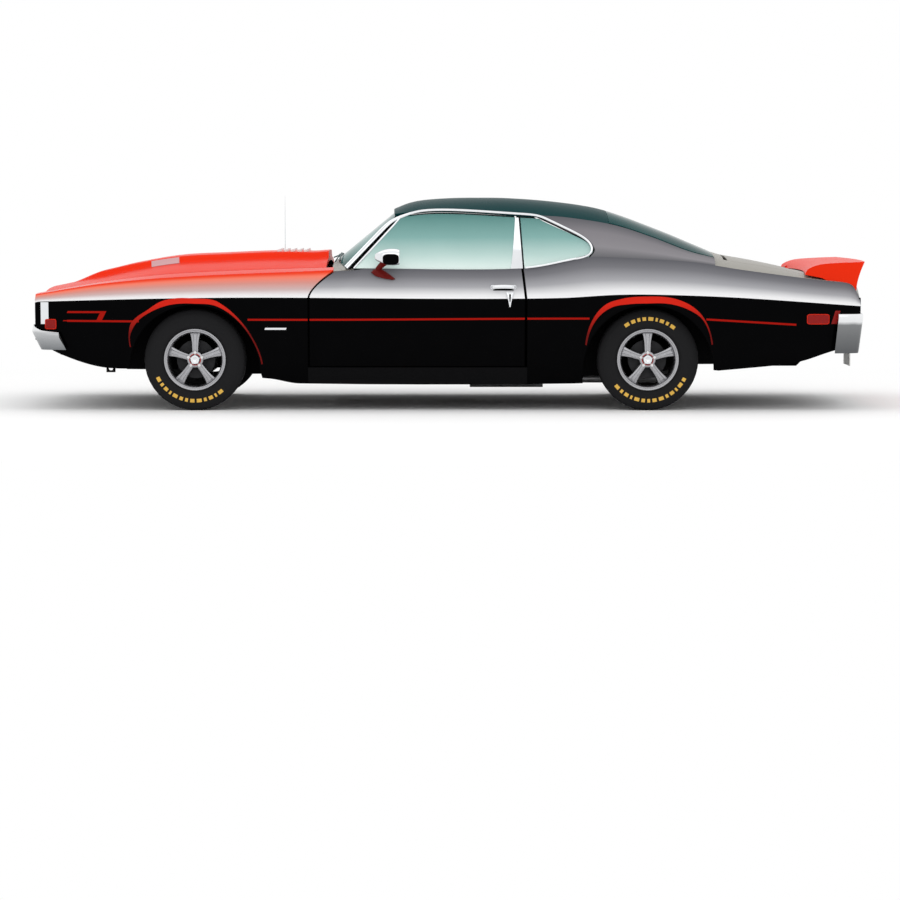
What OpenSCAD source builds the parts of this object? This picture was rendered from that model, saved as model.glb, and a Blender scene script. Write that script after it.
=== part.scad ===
// Two-door hardtop muscle car: front at -X, left side at -Y, standing on the floor at Z = 0.
// Body panels are lofts of one master surface, so every panel follows the same few lines.

/* [Body] */
// overall length, front bumper to spoiler tip
body_l = 5180; // [4200:10:6000]
// widest width of the body, at the side crease
body_w = 1900; // [1500:10:2200]
// height of the roof above the floor
body_h = 1300; // [1050:5:1700]
// thickness of a double-skinned panel
panel_t = 20; // [12:1:30]
// thickness of a whole door
door_t = 120; // [90:5:160]
// gap round a door or lid
shut_gap = 8; // [7:0.5:12]
// hairline between panels that are bolted together
seam = 0.3; // [0.2:0.1:0.8]
// how far the side tucks in from the crease to the sill
tuck = 75; // [40:5:140]
// height of the raised middle of the hood
bulge_h = 38; // [10:1:60]
// half width of the raised middle of the hood
bulge_w = 330; // [200:10:420]

/* [Wheels] */
// distance between the axles
wheelbase = 2777; // [2400:5:3200]
// front bumper to front axle
front_overhang = 1029; // [800:5:1200]
// distance between the wheels of one axle
track = 1540; // [1350:5:1650]
// outer radius of a tyre
tyre_r = 311; // [280:1:360]
// width of a tyre
tyre_w = 218; // [180:2:260]
// radius of the rim's flange
rim_r = 189; // [170:1:230]
// number of spokes
spokes = 5; // [4:1:8]
// radius of a wheel arch
arch_r = 400; // [370:5:430]
// radius of a wheel spindle
spindle_r = 17; // [12:0.5:24]
// radial clearance of a turning fit
fit = 0.05; // [0.02:0.01:0.1]

/* [Glass] */
// thickness of the glass
glass_t = 6; // [4:0.5:8]
// gap between glass and what frames it
glass_gap = 7; // [6:0.5:12]

/* [Fittings] */
// radius of a door or lid hinge pin
pin_r = 7; // [5:0.5:10]
// clearance of a hinge pin in its sleeve
pin_fit = 0.3; // [0.1:0.05:0.5]
// radius of a round head lamp
lamp_r = 74; // [60:1:90]
// radius of the steering wheel
steer_r = 190; // [160:5:210]
// radius of an exhaust pipe
pipe_r = 28; // [20:1:36]
// spacing of the licence plate bolts
plate_pitch = 178; // [120:1:240]
// radius of a licence plate bolt hole
plate_hole_r = 3.5; // [2:0.5:6]

/* [Hidden] */

half_l = body_l / 2;
half_w = body_w / 2;
front_x = front_overhang - half_l;
rear_x = front_x + wheelbase;
wheel_y = track / 2;
// centre of a wheel arch stands a little below the wheel's own centre
arch_z = tyre_r * 0.80;
// one overrun serves every cut
over = panel_t;

// Shares along the body stretch between the bumpers and the axles, which stand at these two shares.
axle_shares = [-0.6109589, 0.4759295];
function along(share) = let (a = axle_shares[0], b = axle_shares[1])
    share < a ? mix(-half_l, front_x, (share + 1) / (a + 1))
    : share < b ? mix(front_x, rear_x, (share - a) / (b - a))
    : mix(rear_x, half_l, (share - b) / (1 - b));
function share_of(x) = let (a = axle_shares[0], b = axle_shares[1])
    x < front_x ? mix(-1, a, (x + half_l) / (front_x + half_l))
    : x < rear_x ? mix(a, b, (x - front_x) / (rear_x - front_x))
    : mix(b, 1, (x - rear_x) / (half_l - rear_x));

// Lines of the body: each row is a share of half the length, then a share of the height or half width.
crease_z_shares = [[-0.986, 0.504], [-0.974, 0.513], [-0.542, 0.533], [0.026, 0.528], [0.265, 0.532],
    [0.401, 0.547], [0.511, 0.547], [0.695, 0.532], [0.986, 0.490]];
crease_y_shares = [[-1.0, 0.885], [-0.93, 0.930], [-0.75, 0.968], [-0.35, 0.985], [0.18, 0.985],
    [0.50, 1.0], [0.75, 0.975], [0.90, 0.940], [1.0, 0.900]];
shoulder_z_shares = [[-0.985, 0.545], [-0.823, 0.598], [-0.622, 0.632], [-0.281, 0.661], [-0.253, 0.668],
    [0.177, 0.668], [0.320, 0.718], [0.360, 0.723], [0.575, 0.699], [0.695, 0.662], [0.883, 0.612],
    [0.986, 0.589]];
shoulder_y_shares = [[-1.0, 0.850], [-0.80, 0.900], [-0.25, 0.900], [0.18, 0.895], [0.36, 0.895],
    [0.65, 0.880], [1.0, 0.835]];
hood_z_shares = [[-0.985, 0.563], [-0.836, 0.625], [-0.767, 0.658], [-0.662, 0.693], [-0.557, 0.704],
    [-0.417, 0.714], [-0.290, 0.710]];
deck_z_shares = [[0.60, 0.760], [0.632, 0.743], [0.667, 0.723], [0.737, 0.698], [0.807, 0.669],
    [0.841, 0.650], [0.986, 0.612]];
roof_z_shares = [[-0.137, 0.946], [-0.103, 0.973], [-0.067, 0.988], [0.002, 0.998], [0.070, 1.0],
    [0.142, 0.998], [0.247, 0.983], [0.352, 0.954], [0.422, 0.915], [0.527, 0.836], [0.597, 0.777],
    [0.640, 0.740]];
drip_z_shares = [[-0.132, 0.924], [-0.051, 0.942], [0.022, 0.942], [0.157, 0.926], [0.219, 0.918],
    [0.286, 0.908], [0.396, 0.873], [0.487, 0.816], [0.575, 0.748], [0.640, 0.716]];
drip_y_shares = [[-0.132, 0.640], [0.02, 0.670], [0.22, 0.680], [0.40, 0.700], [0.575, 0.770],
    [0.640, 0.810]];
sill_z_shares = [[-0.986, 0.340], [-0.925, 0.268], [-0.831, 0.206], [-0.731, 0.195], [-0.431, 0.150],
    [-0.36, 0.127], [0.30, 0.127], [0.40, 0.150], [0.695, 0.198], [0.825, 0.228], [0.898, 0.274],
    [0.986, 0.330]];

// Places along the body as shares of half the length.
nose_share = -0.981;
tail_share = 0.972;
hood_front_share = -0.968;
hood_back_share = -0.297;
deck_front_share = 0.667;
door_front_share = -0.336;
door_back_share = 0.183;
// how far the door's front edge leans back at the belt, and its rear edge leans forward
door_lean_share = 0.060;
door_back_lean_share = -0.008;
glass_base_share = -0.277;
glass_base_side_share = -0.250;
header_share = -0.137;
header_side_share = -0.132;
back_glass_top_share = 0.385;
back_glass_base_share = 0.632;
// half widths of the lids as shares of the shoulder's own half width
hood_edge_share = 0.875;
deck_edge_share = 0.78;

// Smooth value of a two-column table at t: cubic between rows, held at the ends.
function row_at(t, rows, i = 0) = (i >= len(rows) - 2 || t < rows[i + 1][0]) ? i : row_at(t, rows, i + 1);
function rise(rows, a, b) = (rows[b][1] - rows[a][1]) / (rows[b][0] - rows[a][0]);
function tangent(rows, i) = rise(rows, max(i - 1, 0), min(i + 1, len(rows) - 1));
function clamp01(t) = max(0, min(1, t));
function cubic(a, b, ma, mb, s) = (2 * s ^ 3 - 3 * s ^ 2 + 1) * a + (s ^ 3 - 2 * s ^ 2 + s) * ma
    + (3 * s ^ 2 - 2 * s ^ 3) * b + (s ^ 3 - s ^ 2) * mb;
function flow(t, rows) = let (i = row_at(t, rows), h = rows[i + 1][0] - rows[i][0])
    cubic(rows[i][1], rows[i + 1][1], h * tangent(rows, i), h * tangent(rows, i + 1),
        clamp01((t - rows[i][0]) / h));
function mix(a, b, s) = a + (b - a) * s;
function steps(n) = [for (i = [0:n]) i / n];

// Lines of the body at a place x, on the right side.
function crease_z(x) = body_h * flow(share_of(x), crease_z_shares);
function crease_y(x) = half_w * flow(share_of(x), crease_y_shares);
function shoulder_z(x) = body_h * flow(share_of(x), shoulder_z_shares);
function shoulder_y(x) = half_w * flow(share_of(x), shoulder_y_shares);
function hood_z(x) = body_h * flow(share_of(x), hood_z_shares);
function deck_z(x) = body_h * flow(share_of(x), deck_z_shares);
function roof_z(x) = body_h * flow(share_of(x), roof_z_shares);
function drip_z(x) = body_h * flow(share_of(x), drip_z_shares);
function drip_y(x) = half_w * flow(share_of(x), drip_y_shares);
function sill_z(x) = body_h * flow(share_of(x), sill_z_shares);

// The side: a crease, a flank that tucks in below it and leans in above it, flared at the arches.
flare_h = panel_t * 0.7;
flare_w = panel_t * 2.4;
function flare(x, z, axle_x) = let (d = norm([x - axle_x, z - arch_z]) - arch_r)
    flare_h * clamp01(1 - max(d, 0) / flare_w) ^ 2;
function flank_y(x, z) = let (t = clamp01((crease_z(x) - z) / (crease_z(x) - body_h * 0.127)))
    crease_y(x) - tuck * (0.2 * t ^ 0.6 + 0.8 * t ^ 3);
function lean_y(x, z) = let (t = clamp01((z - crease_z(x)) / (shoulder_z(x) - crease_z(x))))
    mix(crease_y(x), shoulder_y(x), t ^ 1.35);
function side_y(x, z) = (z < crease_z(x) ? flank_y(x, z) : lean_y(x, z))
    + flare(x, z, front_x) + flare(x, z, rear_x);

// Hood and deck: a crown across the body, and a raised middle on the hood.
hood_crown = 2.2;
deck_crown = 4;
bulge_slope = bulge_w * 0.22;
function bulge(x, y) = bulge_h * clamp01((bulge_w - abs(y)) / bulge_slope)
    * clamp01((x - along(-0.93)) / (along(-0.84) - along(-0.93)));
function hood_top(x, y) = mix(hood_z(x), shoulder_z(x), (abs(y) / shoulder_y(x)) ^ hood_crown) + bulge(x, y);
function deck_top(x, y) = mix(deck_z(x), shoulder_z(x), (abs(y) / shoulder_y(x)) ^ deck_crown);
function hood_edge(x) = shoulder_y(x) * hood_edge_share;
function deck_edge(x) = shoulder_y(x) * deck_edge_share;

// Roof and sail: from the drip line up to the middle, and from the shoulder up to the drip line.
roof_crown = 2.4;
function roof_point(x, s) = [x, s * drip_y(x), mix(roof_z(x), drip_z(x), abs(s) ^ roof_crown)];
sail_bow = panel_t * 0.8;
function sail_point(x, s) = [x, mix(shoulder_y(x), drip_y(x), s) + sail_bow * sin(180 * s),
    mix(shoulder_z(x), drip_z(x), s)];

// Wheel openings: the lower edge of the side follows the sill, and an arc over each wheel.
function in_arch(x, axle_x) = abs(x - axle_x) < arch_r;
function arch_edge(x, axle_x) = arch_z + sqrt(max(arch_r ^ 2 - (x - axle_x) ^ 2, 0));
function low_z(x) = in_arch(x, front_x) ? max(sill_z(x), arch_edge(x, front_x))
    : in_arch(x, rear_x) ? max(sill_z(x), arch_edge(x, rear_x)) : sill_z(x);

// Shut lines of the door.
function belt_share(x, z) = clamp01((z - crease_z(x)) / (shoulder_z(x) - crease_z(x)));
function door_front(z) = let (x = along(door_front_share))
    x + half_l * door_lean_share * belt_share(x, z) ^ 1.6;
function door_back(z) = let (x = along(door_back_share))
    x + half_l * door_back_lean_share * belt_share(x, z);

// A solid from points and triangles, turned the right way out by the sign of its volume.
function sixfold_volume(points, faces, i = 0, sum = 0) = i == len(faces) ? sum
    : sixfold_volume(points, faces, i + 1,
        sum + points[faces[i][0]] * cross(points[faces[i][1]], points[faces[i][2]]));
function turned(faces) = [for (f = faces) [f[2], f[1], f[0]]];
module closed(points, faces) {
    inside_out = sixfold_volume(points, faces) > 0;
    polyhedron(points, inside_out ? turned(faces) : faces, convexity = 6);
}

// A closed shell from a grid of outer points and a matching grid of inner points.
module patch(grid, inner) {
    nu = len(grid);
    nv = len(grid[0]);
    shell = nu * nv;
    points = concat([for (c = grid) each c], [for (c = inner) each c]);
    skin_faces = [for (i = [0:nu - 2]) for (j = [0:nv - 2]) let (a = i * nv + j, b = a + nv)
        each [[a, a + 1, b + 1], [a, b + 1, b]]];
    inner_faces = [for (f = skin_faces) [f[2] + shell, f[1] + shell, f[0] + shell]];
    rim = concat([for (j = [0:nv - 2]) j], [for (i = [0:nu - 2]) i * nv + nv - 1],
        [for (j = [nv - 1:-1:1]) (nu - 1) * nv + j], [for (i = [nu - 1:-1:1]) i * nv]);
    rim_faces = [for (k = [0:len(rim) - 1]) let (a = rim[k], b = rim[(k + 1) % len(rim)])
        each [[b, a, a + shell], [b, a + shell, b + shell]]];
    closed(points, concat(skin_faces, inner_faces, rim_faces));
}

// A closed loft through sections that have the same number of points.
module loft(sections) {
    nv = len(sections[0]);
    last = (len(sections) - 1) * nv;
    points = [for (s = sections) each s];
    wall = [for (i = [0:len(sections) - 2]) for (j = [0:nv - 1])
        let (a = i * nv + j, b = i * nv + (j + 1) % nv)
        each [[a, b, b + nv], [a, b + nv, a + nv]]];
    caps = [for (j = [1:nv - 2]) each [[0, j + 1, j], [last, last + j, last + j + 1]]];
    closed(points, concat(wall, caps));
}

module both_sides() {
    children();
    mirror([0, 1, 0]) children();
}

// A bar that runs across the car, drawn from the side as a list of [x, z].
module across(width, outline) {
    translate([0, width / 2, 0]) rotate([90, 0, 0]) linear_extrude(width) polygon(outline);
}

// A rod along Y or X between two places.
module rod_y(at, r, length) {
    translate(at - [0, length / 2, 0]) rotate([-90, 0, 0]) cylinder(r = r, h = length);
}
module rod_x(at, r, length) {
    translate(at - [length / 2, 0, 0]) rotate([0, 90, 0]) cylinder(r = r, h = length);
}
module block(low, high) {
    translate(low) cube(high - low);
}

// Insets of the shell: sideways on a flank, down on a top, between the two on a shoulder.
in_side = [0, -panel_t, 0];
in_down = [0, 0, -panel_t];
in_edge = (in_side + in_down) * 0.7;
function inset_rows(grid, insets) = [for (c = grid) [for (j = [0:len(c) - 1]) c[j] + insets[j]]];

// Rows of the flank, from the lower edge to the crease and on to the shoulder.
flank_rows = steps(5);
lean_rows = [0.35, 0.7, 1];
function flank_heights(x, low) = concat([for (s = flank_rows) mix(low, crease_z(x), s)],
    [for (s = lean_rows) mix(crease_z(x), shoulder_z(x), s)]);
flank_index = [0:len(flank_rows) + len(lean_rows) - 1];
function side_column(x, low) = [for (z = flank_heights(x, low)) [x, side_y(x, z), z]];
side_insets = concat([for (s = flank_rows) in_side], [in_side, in_side, in_edge]);

// Stations along a side panel that holds a wheel arch.
arch_turns = steps(12);
function arch_stations(axle_x) = [for (s = arch_turns) axle_x - arch_r * cos(180 * s)];
function stations(a, b, n) = [for (s = steps(n)) mix(a, b, s)];

// Fender: the side from the nose to the door, and a strip of its top beside the hood.
fender_back = along(door_front_share) - shut_gap;
fender_fore = stations(along(nose_share), front_x - arch_r, 6);
fender_aft = stations(front_x + arch_r, fender_back, 3);
fender_xs = concat([for (i = [0:5]) fender_fore[i]], arch_stations(front_x),
    [for (i = [1:3]) fender_aft[i]]);
strip_rows = [0.5, 1];
function lean_back(x, z) = let (s = clamp01((x - fender_aft[0]) / (fender_back - fender_aft[0])))
    s * (door_front(z) - along(door_front_share));
function fender_column(x) = let (heights = flank_heights(x, low_z(x)))
    concat([for (k = flank_index) let (q = x + lean_back(x, heights[k])) side_column(q, low_z(x))[k]],
        [for (s = strip_rows) let (q = x + lean_back(x, shoulder_z(x)),
            y = mix(shoulder_y(q), hood_edge(q) + shut_gap, s)) [q, y, hood_top(q, y)]]);

module fenders() {
    grid = [for (x = fender_xs) fender_column(x)];
    color("firebrick") both_sides()
        patch(grid, inset_rows(grid, concat(side_insets, [in_down, in_down])));
}

// Quarter panel: the side from the door to the tail, the sail up to the roof, and the strip beside the deck.
quarter_fore = along(door_back_share) + shut_gap;
quarter_tail = along(tail_share);
jamb_l = panel_t * 2;
quarter_xs = concat([quarter_fore, quarter_fore + jamb_l, quarter_fore + jamb_l + seam],
    [for (s = [0.2, 0.4, 0.6, 0.8]) mix(quarter_fore + jamb_l, rear_x - arch_r, s)],
    arch_stations(rear_x), [for (s = [0.25, 0.5, 0.75, 0.92, 1]) mix(rear_x + arch_r, quarter_tail, s)]);
function lean_fore(x, z) = let (s = clamp01(1 - (x - quarter_fore) / (rear_x - arch_r - quarter_fore)))
    s * (door_back(z) - along(door_back_share));
function quarter_column(x) = let (heights = flank_heights(x, low_z(x)))
    [for (k = flank_index) let (q = x + lean_fore(x, heights[k])) side_column(q, low_z(x))[k]];
// inner faces of the doors and of the jamb behind them
cabin_y = half_w * 0.775;
belt_inner_y = half_w * 0.825;
function inner_y(x, z) = mix(cabin_y, belt_inner_y, belt_share(x, z));
function jamb_inset(p) = [p[0], inner_y(p[0], p[2]), p[2]];

sail_back_share = 0.633;
tulip_back_share = 0.6575;
// front edge of the sail: share of its height, then share of half the length
sail_front_shares = [[0, 0.336], [0.12, 0.346], [0.25, 0.348], [0.5, 0.330], [0.75, 0.282], [1, 0.219]];
sail_rows = [0, 0.12, 0.25, 0.4, 0.55, 0.7, 0.85, 1];
sail_insets = [for (s = sail_rows) mix(in_edge, (in_side * 0.5 + in_down * 0.85), s)];
function sail_front(s) = along(flow(s, sail_front_shares));
function sail_seam(s) = [0, 0, s == 0 ? seam : s == 1 ? -seam * 3 : 0];

module quarter_panels() {
    grid = [for (x = quarter_xs) quarter_column(x)];
    thin = inset_rows(grid, side_insets);
    inner = [for (i = [0:len(grid) - 1]) i < 2 ? [for (p = grid[i]) jamb_inset(p)] : thin[i]];
    sail = [for (u = steps(14)) [for (s = sail_rows)
        sail_point(mix(sail_front(s), along(sail_back_share) - seam, u), s) + sail_seam(s)]];
    strip = [for (x = stations(along(tulip_back_share) + seam, quarter_tail, 6)) [for (s = [0, 0.5, 1])
        let (y = mix(shoulder_y(x), deck_edge(x) + shut_gap, s)) [x, y, deck_top(x, y) + seam]]];
    color("black") both_sides() {
        patch(grid, inner);
        patch(sail, inset_rows(sail, sail_insets));
        patch(strip, inset_rows(strip, [in_edge, in_down, in_down]));
    }
    tulip = [for (x = [along(sail_back_share), along(tulip_back_share)])
        [for (s = [-1, -0.85, -0.6, -0.3, 0, 0.3, 0.6, 0.85, 1])
            let (y = s * shoulder_y(x)) [x, y, deck_top(x, y) + seam]]];
    color("black") patch(tulip, [for (c = tulip) [for (p = c) p + in_down * 0.8]]);
}

// Roof with its windscreen pillars.
roof_rows = [-1, -0.93, -0.75, -0.5, -0.25, 0, 0.25, 0.5, 0.75, 0.93, 1];
function header_x(s) = mix(along(header_share), along(header_side_share), s ^ 2);
function edge_inset(s) = let (k = abs(s) ^ 4) [0, -sign(s) * panel_t * 0.5 * k, -panel_t * mix(1, 0.85, k)];
pillar_base_share = -0.252;
pillar_base_w = panel_t * 2.2;
pillar_top_w = panel_t * 6;
pillar_t = panel_t * 1.7;
function pillar_ring(x, w, outer, z) = [[x, outer - pillar_t, z], [x, outer, z],
    [x + w, outer, z], [x + w, outer - pillar_t, z]];

module roof() {
    grid = [for (u = steps(17)) [for (s = roof_rows)
        roof_point(mix(header_x(s), along(back_glass_top_share), u), s)]];
    color("darkslategray") patch(grid, inset_rows(grid, [for (s = roof_rows) edge_inset(s)]));
    foot_x = along(pillar_base_share);
    head_x = along(header_side_share);
    head_z = drip_z(head_x) - panel_t * 0.87;
    foot_z = cowl_z(foot_x + pillar_base_w, (foot_y - pillar_t) / foot_y) + seam;
    head_y = pane_point(head_x, 1)[1] - glass_t - glass_gap;
    foot = pillar_ring(foot_x, pillar_base_w, foot_y, foot_z);
    head = pillar_ring(head_x, pillar_top_w, head_y, head_z);
    color("black") both_sides() loft([foot, head]);
}

// Cowl: a sunk panel under the windscreen and the wall behind the engine.
cowl_fore_share = -0.2835;
cowl_back_share = -0.231;
cowl_mid_share = 0.697;
cowl_side_share = 0.653;
cowl_rise_share = 0.020;
cowl_rows = [-1, -0.8, -0.5, -0.2, 0, 0.2, 0.5, 0.8, 1];
function cowl_z(x, s) = let (fore = along(cowl_fore_share),
        u = clamp01((x - fore) / (along(cowl_back_share) - fore)))
    body_h * (mix(cowl_mid_share, cowl_side_share, s ^ 2) + u * cowl_rise_share * (1 - 0.5 * s ^ 2));
function cowl_y(x) = hood_edge(x) + shut_gap - seam;
foot_y = cowl_y(along(pillar_base_share));
wall_t = panel_t * 0.7;
floor_z = body_h * 0.17;

module cowl() {
    xs = [along(cowl_fore_share), along(glass_base_share), along(cowl_back_share)];
    top = [for (x = xs) [for (s = cowl_rows) [x, s * cowl_y(x), cowl_z(x, s)]]];
    color("black") patch(top, [for (c = top) [for (p = c) p + in_down]]);
    wall = [for (u = [0, 1]) [for (s = cowl_rows)
        [wall_x, s * cabin_y * 0.98, mix(wall_low, cowl_z(wall_x, s) - panel_t - seam, u)]]];
    color("black") patch(wall, [for (c = wall) [for (p = c) p + [wall_t, 0, 0]]]);
}

// Panes follow the line from the shoulder to the drip rail, set in from the outer skin.
pane_in = panel_t * 0.6;
pane_top_share = 0.93;
pane_rows = [0, 0.2, 0.4, 0.6, 0.8, 1];
function pane_point(x, s) = sail_point(x, s * pane_top_share)
    - [0, pane_in, 0] + [0, 0, (1 - s) * seam * 3];
in_pane = [0, -glass_t, 0];
screen_y_share = 0.752;
screen_rows = [-1, -0.75, -0.5, -0.25, 0, 0.25, 0.5, 0.75, 1];
function screen_base(s) = let (x = mix(along(glass_base_share), along(glass_base_side_share), s ^ 2))
    [x, s * half_w * screen_y_share, cowl_z(x, s * half_w * screen_y_share / cowl_y(x)) + seam * 7];
function screen_head(s) = roof_point(header_x(s), s * 0.925) - [0, 0, panel_t * 1.2];

// Rear side window: share of its height, then its front edge as a share of half the length.
pane_split_shares = [[0, 0.177], [1, 0.168]];
function pane_split(s) = along(flow(s, pane_split_shares));
// its back edge keeps clear of the sail's inner skin, which lies lower than the outer one
sail_drop = panel_t / (drip_z(along(0.3)) - shoulder_z(along(0.3)));
function pane_back(s) = let (t = s * pane_top_share)
    min(sail_front(t), sail_front(min(t + sail_drop, 1))) - glass_gap;

module fixed_glass() {
    screen = [for (u = steps(5)) [for (s = screen_rows) mix(screen_base(s), screen_head(s), u)]];
    back_xs = stations(along(back_glass_top_share) + seam, along(sail_back_share) - seam, 7);
    back = [for (x = back_xs) [for (s = screen_rows) roof_point(x, s * 0.97)]];
    quarter = [for (u = steps(8)) [for (s = pane_rows)
        pane_point(mix(pane_split(s) + glass_gap, pane_back(s), u), s)]];
    color("lightcyan") {
        patch(screen, [for (c = screen) [for (p = c) p + [glass_t, 0, 0]]]);
        patch(back, [for (c = back) [for (p = c) p - [0, 0, glass_t]]]);
        both_sides() patch(quarter, [for (c = quarter) [for (p = c) p + in_pane]]);
    }
}

// Hood: crowned panel with a raised middle, hinged at the cowl.
hood_pin_y = bulge_w * 0.7;
hood_pin_x = along(hood_back_share) - panel_t * 3.5;
hood_pin_z = hood_z(hood_pin_x) - panel_t * 1.35;
ear_w = pin_r * 1.6;
eye_r = pin_r * 1.8;
function hood_ys(x) = let (e = hood_edge(x), m = (e + bulge_w) / 2, b = bulge_w - bulge_slope)
    [-e, -m, -bulge_w, -b, -b / 2, 0, b / 2, b, bulge_w, m, e];
function hood_fore(y) = half_l * 0.012 * (y / half_w) ^ 2;

// An ear with a bored eye that hangs from a panel down to a hinge pin along Y.
module ear(pin, y, top) {
    difference() {
        union() {
            rod_y([pin[0], y, pin[1]], eye_r, ear_w);
            block([pin[0] - eye_r, y - ear_w / 2, pin[1]], [pin[0] + eye_r, y + ear_w / 2, top]);
        }
        rod_y([pin[0], y, pin[1]], pin_r + pin_fit, ear_w + over);
    }
}

module hood() {
    xs = stations(along(hood_front_share), along(hood_back_share), 11);
    grid = [for (i = [0:11]) [for (y = hood_ys(xs[i])) let (x = xs[i] + hood_fore(y) * (1 - i / 11))
        [x, y, hood_top(x, y)]]];
    color("orangered") {
        patch(grid, [for (c = grid) [for (p = c) p + in_down]]);
        both_sides() ear([hood_pin_x, hood_pin_z], hood_pin_y,
            hood_top(hood_pin_x, hood_pin_y + ear_w) - panel_t - seam * 2);
    }
}

// Deck lid: hinged under the rear window, with a ducktail across its back.
lid_t = panel_t * 0.8;
lid_back_share = 0.958;
deck_pin_y = half_w * 0.42;
deck_pin_x = along(deck_front_share) + panel_t * 3;
deck_pin_z = deck_top(deck_pin_x, deck_pin_y) - lid_t - eye_r - seam * 8;
lid_rows = [-1, -0.8, -0.5, -0.25, 0, 0.25, 0.5, 0.8, 1];

module deck_lid() {
    xs = stations(along(deck_front_share), along(lid_back_share), 7);
    grid = [for (x = xs) [for (s = lid_rows) let (y = s * deck_edge(x)) [x, y, deck_top(x, y)]]];
    color("black") {
        patch(grid, [for (c = grid) [for (p = c) p - [0, 0, lid_t]]]);
        both_sides() ear([deck_pin_x, deck_pin_z], deck_pin_y,
            deck_top(deck_pin_x + eye_r, deck_pin_y + ear_w) - lid_t - seam * 2);
    }
}

// Ducktail: share of half the length and share of the height, from its front edge round to the tip.
duck_top_shares = [[0.812, 0.667], [0.830, 0.682], [0.852, 0.692], [0.925, 0.696], [1.0, 0.699]];
duck_back_shares = [[0.998, 0.690], [0.990, 0.650], [0.983, 0.600], [0.979, 0.536]];
duck_fore_share = 0.972;
duck_bow_share = 0.016;
duck_y = shoulder_y(along(0.9)) * 0.985;
duck_in = (deck_edge(along(duck_fore_share)) - shut_gap) / duck_y;
duck_out = duck_in + seam / duck_y;
duck_rows = [-1, -0.93, -0.86, -duck_out, -duck_in, -0.5, -0.25, 0, 0.25, 0.5,
    duck_in, duck_out, 0.86, 0.93, 1];
function duck_low(s) = abs(s) <= duck_in;
function duck_ring(s) = let (y = s * duck_y, bow = -half_l * duck_bow_share * s ^ 2,
        lift = duck_low(s) ? panel_t * 0.16 : shut_gap * 1.5,
        fore = along(duck_top_shares[0][0]), mid = along(0.9), aft = along(duck_fore_share))
    concat([[fore + bow, y, deck_top(fore, y) + lift * 2]],
        [for (i = [1:4]) [along(duck_top_shares[i][0]) + bow, y,
            max(body_h * duck_top_shares[i][1], deck_top(along(duck_top_shares[i][0]), y) + lift * 3)]],
        [for (p = duck_back_shares) [along(p[0]) + bow, y,
            duck_low(s) ? body_h * p[1] : max(body_h * p[1], deck_top(aft, y) + lift * 1.5)]],
        [[aft + bow, y, duck_low(s) ? body_h * duck_back_shares[3][1] : deck_top(aft, y) + lift],
        [aft + bow, y, deck_top(aft, y) + lift], [mid + bow, y, deck_top(mid + bow, y) + lift]]);

module spoiler() {
    color("orangered") loft([for (s = duck_rows) duck_ring(s)]);
}

// Doors: the whole thickness of the door behind its hinge, and only its skin ahead of it.
door_front_gap = shut_gap * 1.5;
door_low = body_h * 0.21;
thin_t = panel_t * 0.3;
along_door = along(door_back_share) - along(door_front_share);
hinge_x = along(door_front_share) + panel_t * 3;
hinge_y = crease_y(hinge_x) - panel_t * 1.5;
hinge_zs = [body_h * 0.37, body_h * 0.53];
sleeve_h = pin_r * 4;
leaf_x = panel_t * 1.75;
thin_share = panel_t * 4.4 / along_door;
door_us = concat([0, thin_share / 2, thin_share, thin_share + seam / along_door],
    [0.16, 0.26, 0.36, 0.46, 0.56, 0.66, 0.76, 0.86, 0.94, 1]);
thin_columns = 3;
back_taper = panel_t * 0.8;
function door_point(u, k) = let (x0 = mix(along(door_front_share), along(door_back_share), u),
        z = flank_heights(x0, door_low)[k],
        fore = door_front(z) + (door_front_gap - shut_gap) * (1 + belt_share(x0, z)))
    side_column(mix(fore, door_back(z) - shut_gap, u), door_low)[k];

module door() {
    grid = [for (u = door_us) [for (k = flank_index) door_point(u, k)]];
    inner = [for (i = [0:len(grid) - 1]) [for (p = grid[i])
        i < thin_columns ? p - [0, thin_t, 0]
        : [p[0] - back_taper * max(door_us[i] - 0.8, 0) / 0.2, inner_y(p[0], p[2]), p[2]]]];
    patch(grid, inner);
    for (z = hinge_zs) translate([hinge_x, hinge_y, z - sleeve_h / 2]) difference() {
        union() {
            cylinder(r = eye_r, h = sleeve_h);
            block([0, -eye_r, 0], [leaf_x - seam * 4, 0, sleeve_h]);
        }
        translate([0, 0, -over]) cylinder(r = pin_r + pin_fit, h = sleeve_h + over * 2);
    }
}
module door_right() {
    color("black") door();
}
module door_left() {
    color("black") mirror([0, 1, 0]) door();
}

// Frameless door glass, from the windscreen pillar back to the rear side window.
door_glass_front_shares = [[0, -0.231], [1, -0.066]];
function door_glass_front(s) = along(flow(s, door_glass_front_shares));
module door_glass() {
    grid = [for (u = steps(10)) [for (s = pane_rows)
        pane_point(mix(door_glass_front(s), pane_split(s) - glass_gap, u), s)]];
    color("lightcyan") patch(grid, [for (c = grid) [for (p = c) p + in_pane]]);
}
module door_glass_right() {
    door_glass();
}
module door_glass_left() {
    mirror([0, 1, 0]) door_glass();
}

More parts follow.
